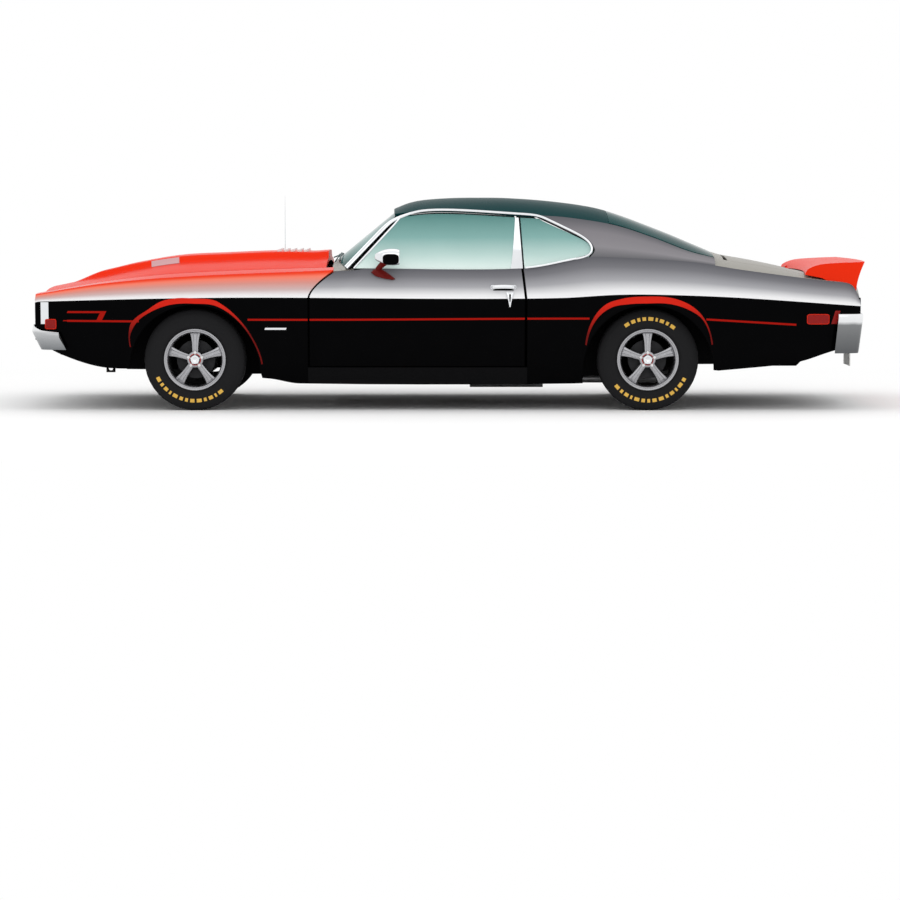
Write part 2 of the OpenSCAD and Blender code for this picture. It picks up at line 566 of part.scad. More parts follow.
// Bright parts of a door: the pull handle, and the mirror on the driver's side.
handle_share = 0.129;
handle_z_share = 0.582;
handle_l = 154;
handle_h = 24;
mirror_share = -0.150;
mirror_z_share = 0.725;
mirror_l = 150;
mirror_w = 62;
mirror_h = 104;
module handle() {
    x = along(handle_share);
    z = body_h * handle_z_share;
    grid = [for (s = steps(6)) let (q = x + handle_l * (s - 0.5), rise = sin(180 * s))
        [for (v = [0, 0.35, 0.65, 1]) [q, side_y(q, z + handle_h * (v - 0.5)) + seam
            + handle_h * (0.4 + 0.9 * rise * sin(180 * v)), z + handle_h * (v - 0.5)]]];
    base = [for (c = grid) [for (p = c) [p[0], side_y(p[0], p[2]) + seam, p[2]]]];
    patch(grid, base);
}
module wing_mirror() {
    x = along(mirror_share);
    z = body_h * mirror_z_share;
    foot_z = body_h * 0.645;
    foot_at = side_y(x, foot_z);
    head_y = foot_at + mirror_w * 0.5;
    rings = [for (s = [0, 0.25, 0.6, 1]) let (w = 0.45 + 0.55 * sin(90 * s)) [for (a = [0:45:315])
        [x + mirror_l * (s - 0.5), head_y + mirror_w * w * cos(a) * 0.7, z + mirror_h * 0.5 * w * sin(a)]]];
    loft(rings);
    foot_l = mirror_l * 0.62;
    foot = [for (v = [0, 1]) [for (p = [[-0.5, 0], [0.5, 0], [0.4, 1], [-0.4, 1]])
        let (q = x + foot_l * p[0], t = foot_z + mirror_h * 0.28 * (p[1] - 0.5))
        v == 0 ? [q, side_y(q, t) + seam, t]
        : [q, head_y - mirror_w * 0.12 * (1 - p[1]), z - mirror_h * 0.46 - seam - (1 - p[1]) * handle_h]]];
    loft(foot);
}
module door_trim_right() {
    color("silver") handle();
}
module door_trim_left() {
    color("silver") mirror([0, 1, 0]) {
        handle();
        wing_mirror();
    }
}

// Bumpers: rows of [outer x, outer y, inner x, inner y] as shares of half the length and half the width.
front_bar_shares = [[-1.0, 0, -0.978, 0], [-0.9985, 0.42, -0.978, 0.42], [-0.994, 0.74, -0.984, 0.73],
    [-0.988, 0.897, -0.9842, 0.894], [-0.968, 0.946, -0.966, 0.932], [-0.924, 0.966, -0.924, 0.952]];
rear_bar_shares = [[0.990, 0, 0.980, 0], [0.989, 0.42, 0.980, 0.42], [0.985, 0.76, 0.978, 0.75],
    [0.9785, 0.918, 0.977, 0.908], [0.955, 0.964, 0.9535, 0.952], [0.898, 0.986, 0.898, 0.974]];
// Height of the bar: [inner or outer mix, share of the height].
front_bar_rings = [[0, 0.400], [0.5, 0.408], [1, 0.395], [1, 0.300], [0.6, 0.282], [0, 0.290]];
rear_bar_rings = [[0, 0.450], [0.5, 0.456], [1, 0.445], [1, 0.415], [0.55, 0.300], [0, 0.268]];
function bar_ring(row, side, ring_shares) = [for (r = ring_shares)
    [along(mix(row[2], row[0], r[0])), side * half_w * mix(row[3], row[1], r[0]), body_h * r[1]]];
module bumper(rows, ring_shares) {
    n = len(rows) - 1;
    loft(concat([for (i = [n:-1:1]) bar_ring(rows[i], -1, ring_shares)],
        [for (i = [0:n]) bar_ring(rows[i], 1, ring_shares)]));
}
module front_bumper() {
    color("silver") bumper(front_bar_shares, front_bar_rings);
}

// The back bumper carries the licence plate's bolt holes in a flat pad below its middle.
plate_z = body_h * 0.24;
plate_t = panel_t * 0.4;
plate_x = along(rear_bar_shares[0][2]) + plate_t / 2;
plate_w = plate_pitch * 1.7;
plate_h = plate_pitch * 0.85;
module rear_bumper() {
    color("silver") bumper(rear_bar_shares, rear_bar_rings);
    color("dimgray") difference() {
        block([plate_x - plate_t, -plate_w / 2, plate_z - plate_h / 2],
            [plate_x, plate_w / 2, body_h * 0.268 - seam]);
        for (s = [-0.5, 0.5]) rod_x([plate_x, s * plate_pitch, plate_z], plate_hole_r, plate_t * 3);
    }
}

// Nose: a frame round the grille and its head lamps, with thin bars between.
nose_x = along(nose_share);
nose_top = shoulder_z(nose_x) - panel_t - shut_gap;
nose_low = body_h * 0.412;
nose_y = lean_y(nose_x, nose_top) - panel_t - seam;
nose_t = panel_t * 2.2;
frame_w = panel_t * 0.9;
bar_t = panel_t * 0.3;
bar_n = 7;
lamp_z = (nose_top + nose_low) / 2;
lamp_ys = [nose_y - lamp_r - frame_w, nose_y - lamp_r * 3 - frame_w * 2];
grille_y = lamp_ys[1] - lamp_r - frame_w;
module grille() {
    color("dimgray") {
        difference() {
            block([nose_x, -nose_y, nose_low], [nose_x + nose_t, nose_y, nose_top]);
            block([nose_x - over, -grille_y, nose_low + frame_w],
                [nose_x + nose_t + over, grille_y, nose_top - frame_w]);
            for (y = lamp_ys, m = [-1, 1]) rod_x([nose_x, m * y, lamp_z], lamp_r, nose_t * 3);
        }
        for (i = [1:bar_n]) let (z = mix(nose_low + frame_w, nose_top - frame_w, i / (bar_n + 1)))
            block([nose_x + nose_t * 0.35, -grille_y, z - bar_t / 2],
                [nose_x + nose_t, grille_y, z + bar_t / 2]);
        for (i = [-3:3]) let (y = grille_y * i / 4)
            block([nose_x + nose_t * 0.6, y - bar_t / 2, nose_low + frame_w],
                [nose_x + nose_t, y + bar_t / 2, nose_top - frame_w]);
    }
}
lamp_depth = nose_t * 0.9;
module head_lamps() {
    color("whitesmoke") for (y = lamp_ys, m = [-1, 1]) translate([nose_x + panel_t * 0.3, m * y, lamp_z])
        rotate([0, 90, 0]) {
            cylinder(r = lamp_r - seam, h = lamp_depth);
            translate([0, 0, -panel_t * 0.15]) cylinder(r = lamp_r * 0.85, h = panel_t * 0.2);
        }
}
module front_valance() {
    fore = along(-0.962);
    low = body_h * 0.205;
    back = eye_x - tow_r * 2 - seam;
    color("black") across(half_w * 1.68, [[fore, body_h * 0.335], [along(-0.925), body_h * 0.262],
        [back, low], [back, low + wall_t], [along(-0.920), body_h * 0.262 + wall_t],
        [fore + wall_t, body_h * 0.335]]);
}

// Tail: a panel between the quarters with slanted lamps, under the ducktail.
tail_x = along(0.974);
tail_top = body_h * 0.530;
tail_low = body_h * 0.36;
tail_y = min(side_y(quarter_tail, tail_low), side_y(quarter_tail, tail_top)) - panel_t - seam;
tail_t = panel_t * 1.2;
tail_lamp_h = (tail_top - body_h * 0.455) * 0.8;
tail_lamp_w = half_w * 0.42;
iron_w = panel_t * 3;
module tail_panel() {
    color("dimgray") both_sides() block([tail_x + seam, tail_y * 0.35, tail_low + panel_t],
        [along(rear_bar_shares[0][2]) - seam, tail_y * 0.35 + iron_w, tail_low + panel_t + iron_w]);
    color("black") difference() {
        block([tail_x - tail_t, -tail_y, tail_low], [tail_x, tail_y, tail_top]);
        for (m = [-1, 1])
            translate([tail_x, m * (tail_y - tail_lamp_w * 0.62), tail_top - tail_lamp_h * 0.62])
                cube([tail_t, tail_lamp_w, tail_lamp_h], center = true);
    }
}
module tail_lamps() {
    gap = seam * 2;
    color("darkred") for (m = [-1, 1])
        translate([tail_x, m * (tail_y - tail_lamp_w * 0.62), tail_top - tail_lamp_h * 0.62])
            translate([-tail_t * 0.2, 0, 0])
                cube([tail_t * 0.5, tail_lamp_w - gap, tail_lamp_h - gap], center = true);
}

// Side marker lamps, proud of the skin: share of half the length, share of the height, length, height.
marker_l = 64;
marker_h = 52;
marker_shares = [[-0.944, 0.407], [0.872, 0.431]];
module side_markers() {
    for (k = [0, 1])
        let (x = along(marker_shares[k][0]), z = body_h * marker_shares[k][1], l = marker_l * (1 + k))
        color("red") both_sides() {
            grid = [for (s = [-0.5, 0, 0.5]) [for (v = [-0.5, 0, 0.5])
                [x + l * s, side_y(x + l * s, z + marker_h * v) + panel_t * 0.3, z + marker_h * v]]];
            patch(grid, [for (c = grid) [for (p = c) [p[0], side_y(p[0], p[2]) + seam, p[2]]]]);
        }
}

// Floor: a pan with a tunnel, rockers under the doors, hinge posts, wheel houses, boot floor and shelf.
floor_t = panel_t * 0.7;
tunnel_w = half_w * 0.135;
tunnel_h = body_h * 0.115;
wall_x = along(cowl_fore_share);
kick_x = along(0.275);
boot_z = body_h * 0.37;
boot_drop_z = body_h * 0.31;
boot_back = tail_x - tail_t - seam;
house_in_y = wheel_y - tyre_w * 0.7;
house_out_y = wheel_y + tyre_w / 2;
house_t = panel_t * 0.6;
post_out_y = hinge_y - panel_t * 5;
post_fore = hinge_x - panel_t * 4;
post_aft = hinge_x + panel_t * 1.3;
post_top = shoulder_z(hinge_x) - panel_t * 2;
rocker_top = door_low - shut_gap;
arm_t = pin_r;
shelf_z = body_h * 0.650;
shelf_fore = along(0.452);
shelf_back = along(0.642);

module floor_profile() {
    y = cabin_y;
    w = tunnel_w;
    polygon([[-y, 0], [-w, 0], [-w * 0.8, tunnel_h - floor_t], [w * 0.8, tunnel_h - floor_t], [w, 0], [y, 0],
        [y, floor_t], [w + floor_t, floor_t], [w * 0.8 + floor_t, tunnel_h], [-w * 0.8 - floor_t, tunnel_h],
        [-w - floor_t, floor_t], [-y, floor_t]]);
}

module hinge_post() {
    block([post_fore, hood_edge(hinge_x) + shut_gap, rocker_top + seam], [post_aft, post_out_y, post_top]);
    for (z = hinge_zs, m = [-1, 1]) translate([0, 0, z + m * (sleeve_h / 2 + seam * 2 + arm_t / 2)]) {
        block([hinge_x - eye_r * 0.65, post_out_y - panel_t, -arm_t / 2],
            [hinge_x + eye_r * 0.65, hinge_y, arm_t / 2]);
        translate([hinge_x, hinge_y, -arm_t / 2]) cylinder(r = eye_r * 0.7, h = arm_t);
    }
    for (z = hinge_zs) translate([hinge_x, hinge_y, z - sleeve_h / 2 - arm_t])
        cylinder(r = pin_r, h = sleeve_h + arm_t * 2);
}

module wheel_house() {
    length = house_out_y - house_in_y;
    mid = [rear_x, (house_in_y + house_out_y) / 2, arch_z];
    difference() {
        rod_y(mid, arch_r + over + house_t, length);
        rod_y(mid + [0, house_t, 0], arch_r + over, length);
        block([rear_x - half_l, 0, -body_h], [rear_x + half_l, half_w, arch_z + tyre_r * 0.36]);
    }
}

module floor_pan() {
    color("dimgray") {
        translate([wall_x, 0, floor_z]) rotate([90, 0, 90])
            linear_extrude(kick_x - seam - wall_x) floor_profile();
        both_sides() block([wall_x, tunnel_w + floor_t * 2, floor_z + floor_t + seam],
            [wall_x + wall_t, cabin_y * 0.98, wall_low - seam]);
        difference() {
            across(house_in_y * 2 - seam * 2, [[kick_x, floor_z], [kick_x + tunnel_h / 2, boot_z - floor_t],
                [along(0.60), boot_z - floor_t], [along(0.62), boot_drop_z - floor_t],
                [boot_back, boot_drop_z - floor_t], [boot_back, boot_drop_z],
                [along(0.62) + floor_t, boot_drop_z], [along(0.60) + floor_t, boot_z],
                [kick_x + tunnel_h / 2 - floor_t, boot_z], [kick_x, floor_z + floor_t * 3]]);
            block([kick_x - over, -tunnel_w, 0], [kick_x + tunnel_h, tunnel_w, floor_z + tunnel_h]);
        }
        both_sides() {
            hinge_post();
            wheel_house();
            rocker();
            jack_pad();
        }
        across(shoulder_y(shelf_fore) * 1.84, [[shelf_fore, shelf_z - floor_t],
            [shelf_back, shelf_z - floor_t], [shelf_back, shelf_z], [shelf_fore, shelf_z]]);
        both_sides() deck_bracket();
    }
}

// pads under the floor for a jack or a lift
jack_x = along(-0.2);
jack_y = cabin_y - panel_t * 3;
jack_l = panel_t * 6;
jack_h = panel_t;
module jack_pad() {
    block([jack_x - jack_l / 2, jack_y - jack_l / 4, floor_z - jack_h],
        [jack_x + jack_l / 2, jack_y + jack_l / 4, floor_z + floor_t / 2]);
}

module rocker() {
    xs = stations(fender_back + seam, quarter_fore - seam, 4);
    rows = [0, 0.45, 1];
    grid = [for (x = xs) [for (s = rows) let (z = mix(sill_z(x), rocker_top, s)) [x, side_y(x, z), z]]];
    patch(grid, [for (c = grid) [for (p = c) [p[0], cabin_y + seam, p[2]]]]);
}

// A bracket that holds a lid's pin; its arm keeps under the path of the lid's hinged edge.
module lid_bracket(outline, pin, y) {
    translate([0, y - ear_w / 2 - seam * 3, 0]) rotate([90, 0, 0]) linear_extrude(ear_w) polygon(outline);
    translate([pin[0], y - ear_w * 1.5 - seam * 3, pin[1]]) rotate([-90, 0, 0]) {
        cylinder(r = eye_r * 0.8, h = ear_w);
        cylinder(r = pin_r, h = ear_w * 2 + seam * 3);
    }
}
module deck_bracket() {
    x = deck_pin_x;
    z = deck_pin_z;
    e = eye_r;
    lid_bracket([[shelf_back - e * 4, shelf_z], [shelf_back - e, shelf_z], [x - e * 5, z - e * 5.2],
        [x - e * 0.7, z + e * 0.4], [x + e * 0.7, z - e * 0.4], [x - e * 4, z - e * 7]], [x, z], deck_pin_y);
}
module hood_bracket() {
    x = hood_pin_x;
    z = hood_pin_z;
    e = eye_r;
    lid_bracket([[wall_x - seam, z - e * 9], [wall_x - seam, z - e * 13], [x - e * 0.7, z - e * 0.4],
        [x + e * 0.7, z + e * 0.4]], [x, z], hood_pin_y);
}

// Front structure: aprons beside the engine, rails, the radiator support and the bumper irons.
rail_y = half_w * 0.453;
rail_w = half_w * 0.074;
rail_low = tyre_r;
rail_h = tyre_r * 0.32;
apron_y = rail_y + rail_w / 2;
apron_out_y = half_w * 0.762;
apron_z = tyre_r * 2 + panel_t * 3.4;
apron_fore = along(-0.905);
rail_fore = along(-0.842);
support_x = along(-0.892);
iron_z = body_h * 0.37;
bumper_in_x = along(-0.978);
eye_x = along(-0.822);
eye_z = body_h * 0.182;
tow_r = 14;
tow_t = panel_t * 0.6;
module aprons() {
    color("black") both_sides() {
        translate([apron_fore, 0, 0]) rotate([90, 0, 90]) linear_extrude(wall_x - seam - apron_fore)
            polygon([[apron_y - wall_t, rail_low + rail_h * 0.9], [apron_y, rail_low + rail_h * 0.9],
                [apron_y, apron_z], [apron_out_y, apron_z], [apron_out_y, apron_z + panel_t * 1.5],
                [apron_out_y - wall_t, apron_z + panel_t * 1.5], [apron_out_y - wall_t, apron_z + wall_t],
                [apron_y - wall_t, apron_z + wall_t]]);
        block([rail_fore, rail_y - rail_w / 2, rail_low],
            [wall_x - seam, rail_y + rail_w / 2, rail_low + rail_h]);
        block([support_x + wall_t / 2, rail_y - rail_w * 0.4, rail_low + rail_h * 0.7],
            [rail_fore + rail_h, rail_y + rail_w * 0.4, rail_low + rail_h * 1.4]);
        block([bumper_in_x + seam, rail_y - rail_w / 2, iron_z - rail_w / 2],
            [support_x + wall_t / 2, rail_y + rail_w / 2, iron_z + rail_w / 2]);
        difference() {
            block([eye_x - tow_r * 2, rail_y - tow_t / 2, eye_z - tow_r * 1.8],
                [eye_x + tow_r * 2, rail_y + tow_t / 2, rail_low + rail_h * 0.1]);
            rod_y([eye_x, rail_y, eye_z], tow_r, tow_t * 3);
        }
    }
    color("black") difference() {
        block([support_x, -apron_y + wall_t / 2, rail_low + panel_t * 2],
            [support_x + wall_t, apron_y - wall_t / 2, apron_z + wall_t / 2]);
        block([support_x - over, -radiator_y + panel_t, radiator_low + panel_t],
            [support_x + over * 2, radiator_y - panel_t, radiator_top - panel_t]);
    }
    color("black") both_sides() hood_bracket();
}
radiator_y = apron_y * 0.75;
radiator_low = rail_low + panel_t * 2;
radiator_top = apron_z - panel_t;
radiator_t = panel_t * 3;
module radiator() {
    color("dimgray") block([support_x + wall_t + seam, -radiator_y, radiator_low],
        [support_x + wall_t + seam + radiator_t, radiator_y, radiator_top]);
}

// Engine as one plain block with its air cleaner, and the gearbox and shaft behind it.
engine_l = 700;
engine_w = 560;
engine_fore = front_x - engine_l * 0.25;
engine_back = engine_fore + engine_l;
engine_low = rail_low + seam;
cleaner_r = 190;
cleaner_h = 70;
engine_h = hood_z(front_x) - panel_t * 4 - cleaner_h - engine_low;
shaft_z = floor_z + tunnel_h * 0.3;
gearbox_r = tunnel_w * 0.62;
gearbox_l = 640;
shaft_r = 36;
module engine() {
    w = engine_w / 2;
    color("slategray") {
        translate([engine_fore, 0, engine_low]) rotate([90, 0, 90]) linear_extrude(engine_l)
            polygon([[-w * 0.45, 0], [w * 0.45, 0], [w * 0.5, engine_h * 0.4], [w, engine_h * 0.75],
                [w * 0.7, engine_h], [-w * 0.7, engine_h], [-w, engine_h * 0.75],
                [-w * 0.5, engine_h * 0.4]]);
        translate([engine_fore + engine_l * 0.5, 0, engine_low + engine_h * 0.9])
            cylinder(r = cleaner_r, h = engine_h * 0.1 + cleaner_h);
    }
}
module driveline() {
    color("gray") {
        rod_x([engine_back + seam + gearbox_l / 2, 0, shaft_z], gearbox_r, gearbox_l);
        rod_x([(engine_back + rear_x - diff_r) / 2, 0, shaft_z], shaft_r,
            rear_x - diff_r - engine_back - seam * 2);
    }
}

// Front suspension: a cross member, lower and upper arms, and knuckles that steer on upright pins.
king_y = wheel_y - tyre_w * 0.32;
king_r = 12;
arm_z = tyre_r * 0.34;
arm_h = 24;
arm_eye_r = king_r * 2;
low_arm_z = tyre_r - arm_z;
top_arm_z = tyre_r + arm_z;
module wishbone(root_y, half_span, z) {
    difference() {
        union() {
            translate([front_x, 0, z - arm_h / 2]) linear_extrude(arm_h)
                polygon([[-half_span, root_y], [half_span, root_y],
                    [arm_eye_r, king_y], [-arm_eye_r, king_y]]);
            translate([front_x, king_y, z - arm_h / 2]) cylinder(r = arm_eye_r, h = arm_h);
        }
        translate([front_x, king_y, z - arm_h]) cylinder(r = king_r + fit, h = arm_h * 2);
        translate([front_x, (root_y + king_y) / 2 - arm_h, z - arm_h])
            linear_extrude(arm_h * 2) polygon([[-half_span * 0.5, arm_h - (king_y - root_y) * 0.42],
                [half_span * 0.5, arm_h - (king_y - root_y) * 0.42], [0, (king_y - root_y) * 0.3]]);
    }
}
module front_arms() {
    low = low_arm_z - arm_h / 2;
    color("dimgray") {
        block([front_x - arm_h * 2, -apron_y, low], [front_x + arm_h * 2, apron_y, rail_low - seam]);
        both_sides() {
            wishbone(apron_y + seam, arm_h * 5, low_arm_z);
            wishbone(apron_y + seam, arm_h * 4, top_arm_z);
        }
    }
}
drum_r = 118;
drum_w = 34;
upright_r = king_r * 1.9;
spindle_l = tyre_w * 0.5;
module knuckle() {
    z0 = low_arm_z + arm_h / 2 + seam * 2;
    z1 = top_arm_z - arm_h / 2 - seam * 2;
    translate([front_x, king_y, z0]) cylinder(r = upright_r, h = z1 - z0);
    translate([front_x, king_y, low_arm_z - arm_h / 2])
        cylinder(r = king_r, h = top_arm_z - low_arm_z + arm_h);
    rod_y([front_x, king_y + arm_eye_r + shut_gap + drum_w / 2, tyre_r], drum_r, drum_w);
    rod_y([front_x, king_y + spindle_l / 2, tyre_r], spindle_r, spindle_l);
}
module knuckle_right() {
    color("gray") knuckle();
}
module knuckle_left() {
    color("gray") mirror([0, 1, 0]) knuckle();
}

// Back axle on leaf springs.
axle_r = 38;
diff_r = 118;
spring_y = half_w * 0.55;
spring_w = 60;
spring_t = 27;
spring_fore = 410;
spring_aft = 560;
spring_rise = 110;
module rear_axle() {
    color("dimgray") {
        rod_y([rear_x, 0, tyre_r], axle_r, king_y * 2);
        translate([rear_x, 0, tyre_r]) sphere(r = diff_r);
        both_sides() {
            rod_y([rear_x, king_y + arm_eye_r + shut_gap + drum_w / 2, tyre_r], drum_r, drum_w);
            rod_y([rear_x, king_y + spindle_l / 2, tyre_r], spindle_r, spindle_l);
        }
    }
}
function leaf_z(x) = tyre_r - axle_r - seam - spring_t + spring_rise * (x / spring_aft) ^ 2;
module leaf_springs() {
    xs = stations(-spring_fore, spring_aft, 12);
    outline = concat([for (x = xs) [rear_x + x, leaf_z(x)]],
        [for (i = [12:-1:0]) [rear_x + xs[i], leaf_z(xs[i]) + spring_t]]);
    color("dimgray") both_sides() translate([0, spring_y, 0]) {
        across(spring_w, outline);
        block([rear_x - spring_fore, -spring_w / 2, leaf_z(spring_fore) + spring_t / 2],
            [rear_x - spring_fore + spring_t, spring_w / 2, boot_z - floor_t - seam]);
        block([rear_x + spring_aft - spring_t, -spring_w / 2, leaf_z(spring_aft) + spring_t / 2],
            [rear_x + spring_aft, spring_w / 2, boot_drop_z - floor_t - seam]);
    }
}
tank_l = 380;
tank_w = 760;
tank_h = 140;
module fuel_tank() {
    x0 = rear_x + spring_aft + spring_t * 2;
    top = boot_drop_z - floor_t - seam;
    c = tank_h * 0.25;
    color("gray") across(tank_w, [[x0 + c, top - tank_h], [x0 + tank_l - c, top - tank_h],
        [x0 + tank_l, top - tank_h + c], [x0 + tank_l, top], [x0, top], [x0, top - tank_h + c]]);
}
muffler_r = pipe_r * 2;
muffler_l = 460;
pipe_y = half_w * 0.28;
module exhaust() {
    z = floor_z - muffler_r - seam;
    fore = wall_x;
    aft = rear_x + tyre_r;
    color("silver") both_sides() {
        rod_x([(fore + aft) / 2, pipe_y, z], pipe_r, aft - fore);
        rod_x([kick_x - muffler_l * 0.75, pipe_y, z], muffler_r, muffler_l);
    }
}

// Wheels: a barrel, five tapered spokes and a hub that turns on its spindle. Drawn facing +Y.
rim_w = tyre_w * 0.92;
flange_t = 5;
barrel_r = rim_r * 0.90;
barrel_t = 9;
hub_r = rim_r * 0.27;
dish = tyre_w * 0.12;
spoke_t = tyre_w * 0.15;
hub_back = tyre_w * 0.02;
module rim_section() {
    w = rim_w / 2;
    polygon([[barrel_r - barrel_t, -w], [rim_r, -w], [rim_r, -w + flange_t], [barrel_r, -w + flange_t],
        [barrel_r, w - flange_t], [rim_r, w - flange_t], [rim_r, w], [barrel_r - barrel_t, w]]);
}
module wheel() {
    difference() {
        union() {
            rotate([-90, 0, 0]) rotate_extrude() rim_section();
            for (i = [0:spokes - 1]) rotate([0, 360 * i / spokes, 0]) translate([0, dish + spoke_t, 0])
                rotate([90, 0, 0]) linear_extrude(spoke_t)
                    polygon([[-hub_r * 0.54, hub_r * 0.45], [hub_r * 0.54, hub_r * 0.45],
                        [hub_r * 0.42, barrel_r - barrel_t * 0.5],
                        [-hub_r * 0.42, barrel_r - barrel_t * 0.5]]);
            translate([0, hub_back, 0]) rotate([-90, 0, 0]) {
                cylinder(r = hub_r, h = dish + spoke_t);
                cylinder(r = hub_r * 0.6, h = dish + spoke_t * 1.9);
            }
        }
        translate([0, -spindle_l, 0]) rotate([-90, 0, 0])
            cylinder(r = spindle_r + fit, h = spindle_l + king_y + spindle_l - wheel_y + seam * 4);
    }
}
// Tyre: bead, sidewall, shoulder and tread, as shares of its width and of the depth from bead to tread.
tyre_shares = [[0.42, 0], [0.425, 0.15], [0.475, 0.25], [0.5, 0.47], [0.485, 0.72], [0.435, 0.92],
    [0.39, 0.985], [0.2, 1.0]];
module tyre() {
    bead_r = barrel_r + seam;
    half = [for (p = tyre_shares) [mix(bead_r, tyre_r, p[1]), tyre_w * p[0]]];
    n = len(half) - 1;
    rotate([-90, 0, 0]) rotate_extrude()
        polygon(concat(half, [for (i = [n:-1:0]) [half[i][0], -half[i][1]]]));
}
module at_wheel(x, side) {
    translate([x, side * wheel_y, tyre_r]) mirror([0, side < 0 ? 1 : 0, 0]) children();
}
module wheel_front_left() {
    color("silver") at_wheel(front_x, -1) wheel();
}
module wheel_front_right() {
    color("silver") at_wheel(front_x, 1) wheel();
}
module wheel_rear_left() {
    color("silver") at_wheel(rear_x, -1) wheel();
}
module wheel_rear_right() {
    color("silver") at_wheel(rear_x, 1) wheel();
}
module tyre_front_left() {
    color("#1b1b1b") at_wheel(front_x, -1) tyre();
}
module tyre_front_right() {
    color("#1b1b1b") at_wheel(front_x, 1) tyre();
}
module tyre_rear_left() {
    color("#1b1b1b") at_wheel(rear_x, -1) tyre();
}
module tyre_rear_right() {
    color("#1b1b1b") at_wheel(rear_x, 1) tyre();
}

// Cabin: two bucket seats, a bench, the dashboard and the steering wheel on its column.
seat_gap = floor_t / 2;
seat_w = (cabin_y - tunnel_w - floor_t) * 0.842;
seat_y = tunnel_w + floor_t + seat_gap + seat_w / 2;
seat_x = along(0.085);
seat_l = 500;
seat_z = floor_z + floor_t + seam;
cushion_z = body_h * 0.34;
back_z = body_h * 0.745;
back_t = 110;
module front_seats() {
    color("#202020") both_sides() translate([seat_x, seat_y, 0])
        across(seat_w, [[-seat_l * 0.45, seat_z], [seat_l * 0.5, seat_z], [seat_l * 0.62, cushion_z * 0.8],
            [seat_l * 0.95, back_z], [seat_l * 0.95 - back_t, back_z], [seat_l * 0.42, cushion_z],
            [-seat_l * 0.42, cushion_z * 1.04], [-seat_l * 0.5, cushion_z * 0.9]]);
}
bench_fore = kick_x + tunnel_h * 0.75;
bench_back = shelf_fore + panel_t;
module rear_seat() {
    low = boot_z + seam;
    top = shelf_z - floor_t - seam;
    color("#202020") across(house_in_y * 1.9, [[bench_fore, low], [bench_back, low], [bench_back, top],
        [bench_back - back_t, top], [bench_back - back_t * 2, low + back_t],
        [bench_fore, low + back_t * 1.1]]);
}
dash_fore = along(cowl_back_share) + seam;
dash_l = 150;
dash_top = cowl_z(along(cowl_back_share), 0.9) - seam;
dash_h = 180;
module dashboard() {
    color("#202020") across(cabin_y * 1.9, [[dash_fore, dash_top],
        [dash_fore + dash_l * 0.8, dash_top - dash_l * 0.08], [dash_fore + dash_l, dash_top - dash_h * 0.3],
        [dash_fore + dash_l * 0.8, dash_top - dash_h],
        [dash_fore, dash_top - dash_h * 1.05]]);
}
column_tilt = 22;
column_r = 24;
column_l = 220;
shaft_stub_r = 11;
steer_at = [dash_fore + dash_l * 0.857 + column_r * 0.52, -seat_y, dash_top - dash_h * 0.8];
steer_rim_r = 12;
steer_hub_r = 40;
steer_hub_h = 34;
module on_column(d) {
    translate(steer_at) rotate([0, 90 - column_tilt, 0]) translate([0, 0, d]) children();
}
module steering_column() {
    color("black") on_column(seam * 8) {
        cylinder(r = column_r, h = column_l);
        cylinder(r = shaft_stub_r, h = column_l + steer_hub_h * 0.6);
    }
}
module steering_wheel() {
    base = seam * 8 + column_l + panel_t * 0.3;
    color("black") on_column(base) difference() {
        union() {
            cylinder(r = steer_hub_r, h = steer_hub_h);
            translate([0, 0, steer_hub_h]) rotate_extrude()
                translate([steer_r - steer_rim_r, 0]) circle(r = steer_rim_r);
            for (a = [0, 120, 240]) rotate([0, 0, a])
                translate([0, -steer_rim_r, steer_hub_h - steer_rim_r])
                    cube([steer_r - steer_rim_r, steer_rim_r * 2, steer_rim_r]);
        }
        translate([0, 0, -over]) cylinder(r = shaft_stub_r + pin_fit, h = over + steer_hub_h * 0.6);
    }
}
wall_low = floor_z + tunnel_h + seam;

floor_pan();
cowl();
aprons();
fenders();
quarter_panels();
roof();
grille();
front_bumper();
front_valance();
tail_panel();
rear_bumper();
fixed_glass();
head_lamps();
tail_lamps();
side_markers();
front_seats();
rear_seat();
dashboard();
steering_column();
steering_wheel();
engine();
radiator();
driveline();
front_arms();
rear_axle();
leaf_springs();
fuel_tank();
exhaust();
hood();
deck_lid();
spoiler();
door_left();
door_right();
door_glass_left();
door_glass_right();
door_trim_left();
door_trim_right();
knuckle_left();
knuckle_right();
wheel_front_left();
wheel_front_right();
wheel_rear_left();
wheel_rear_right();
tyre_front_left();
tyre_front_right();
tyre_rear_left();
tyre_rear_right();
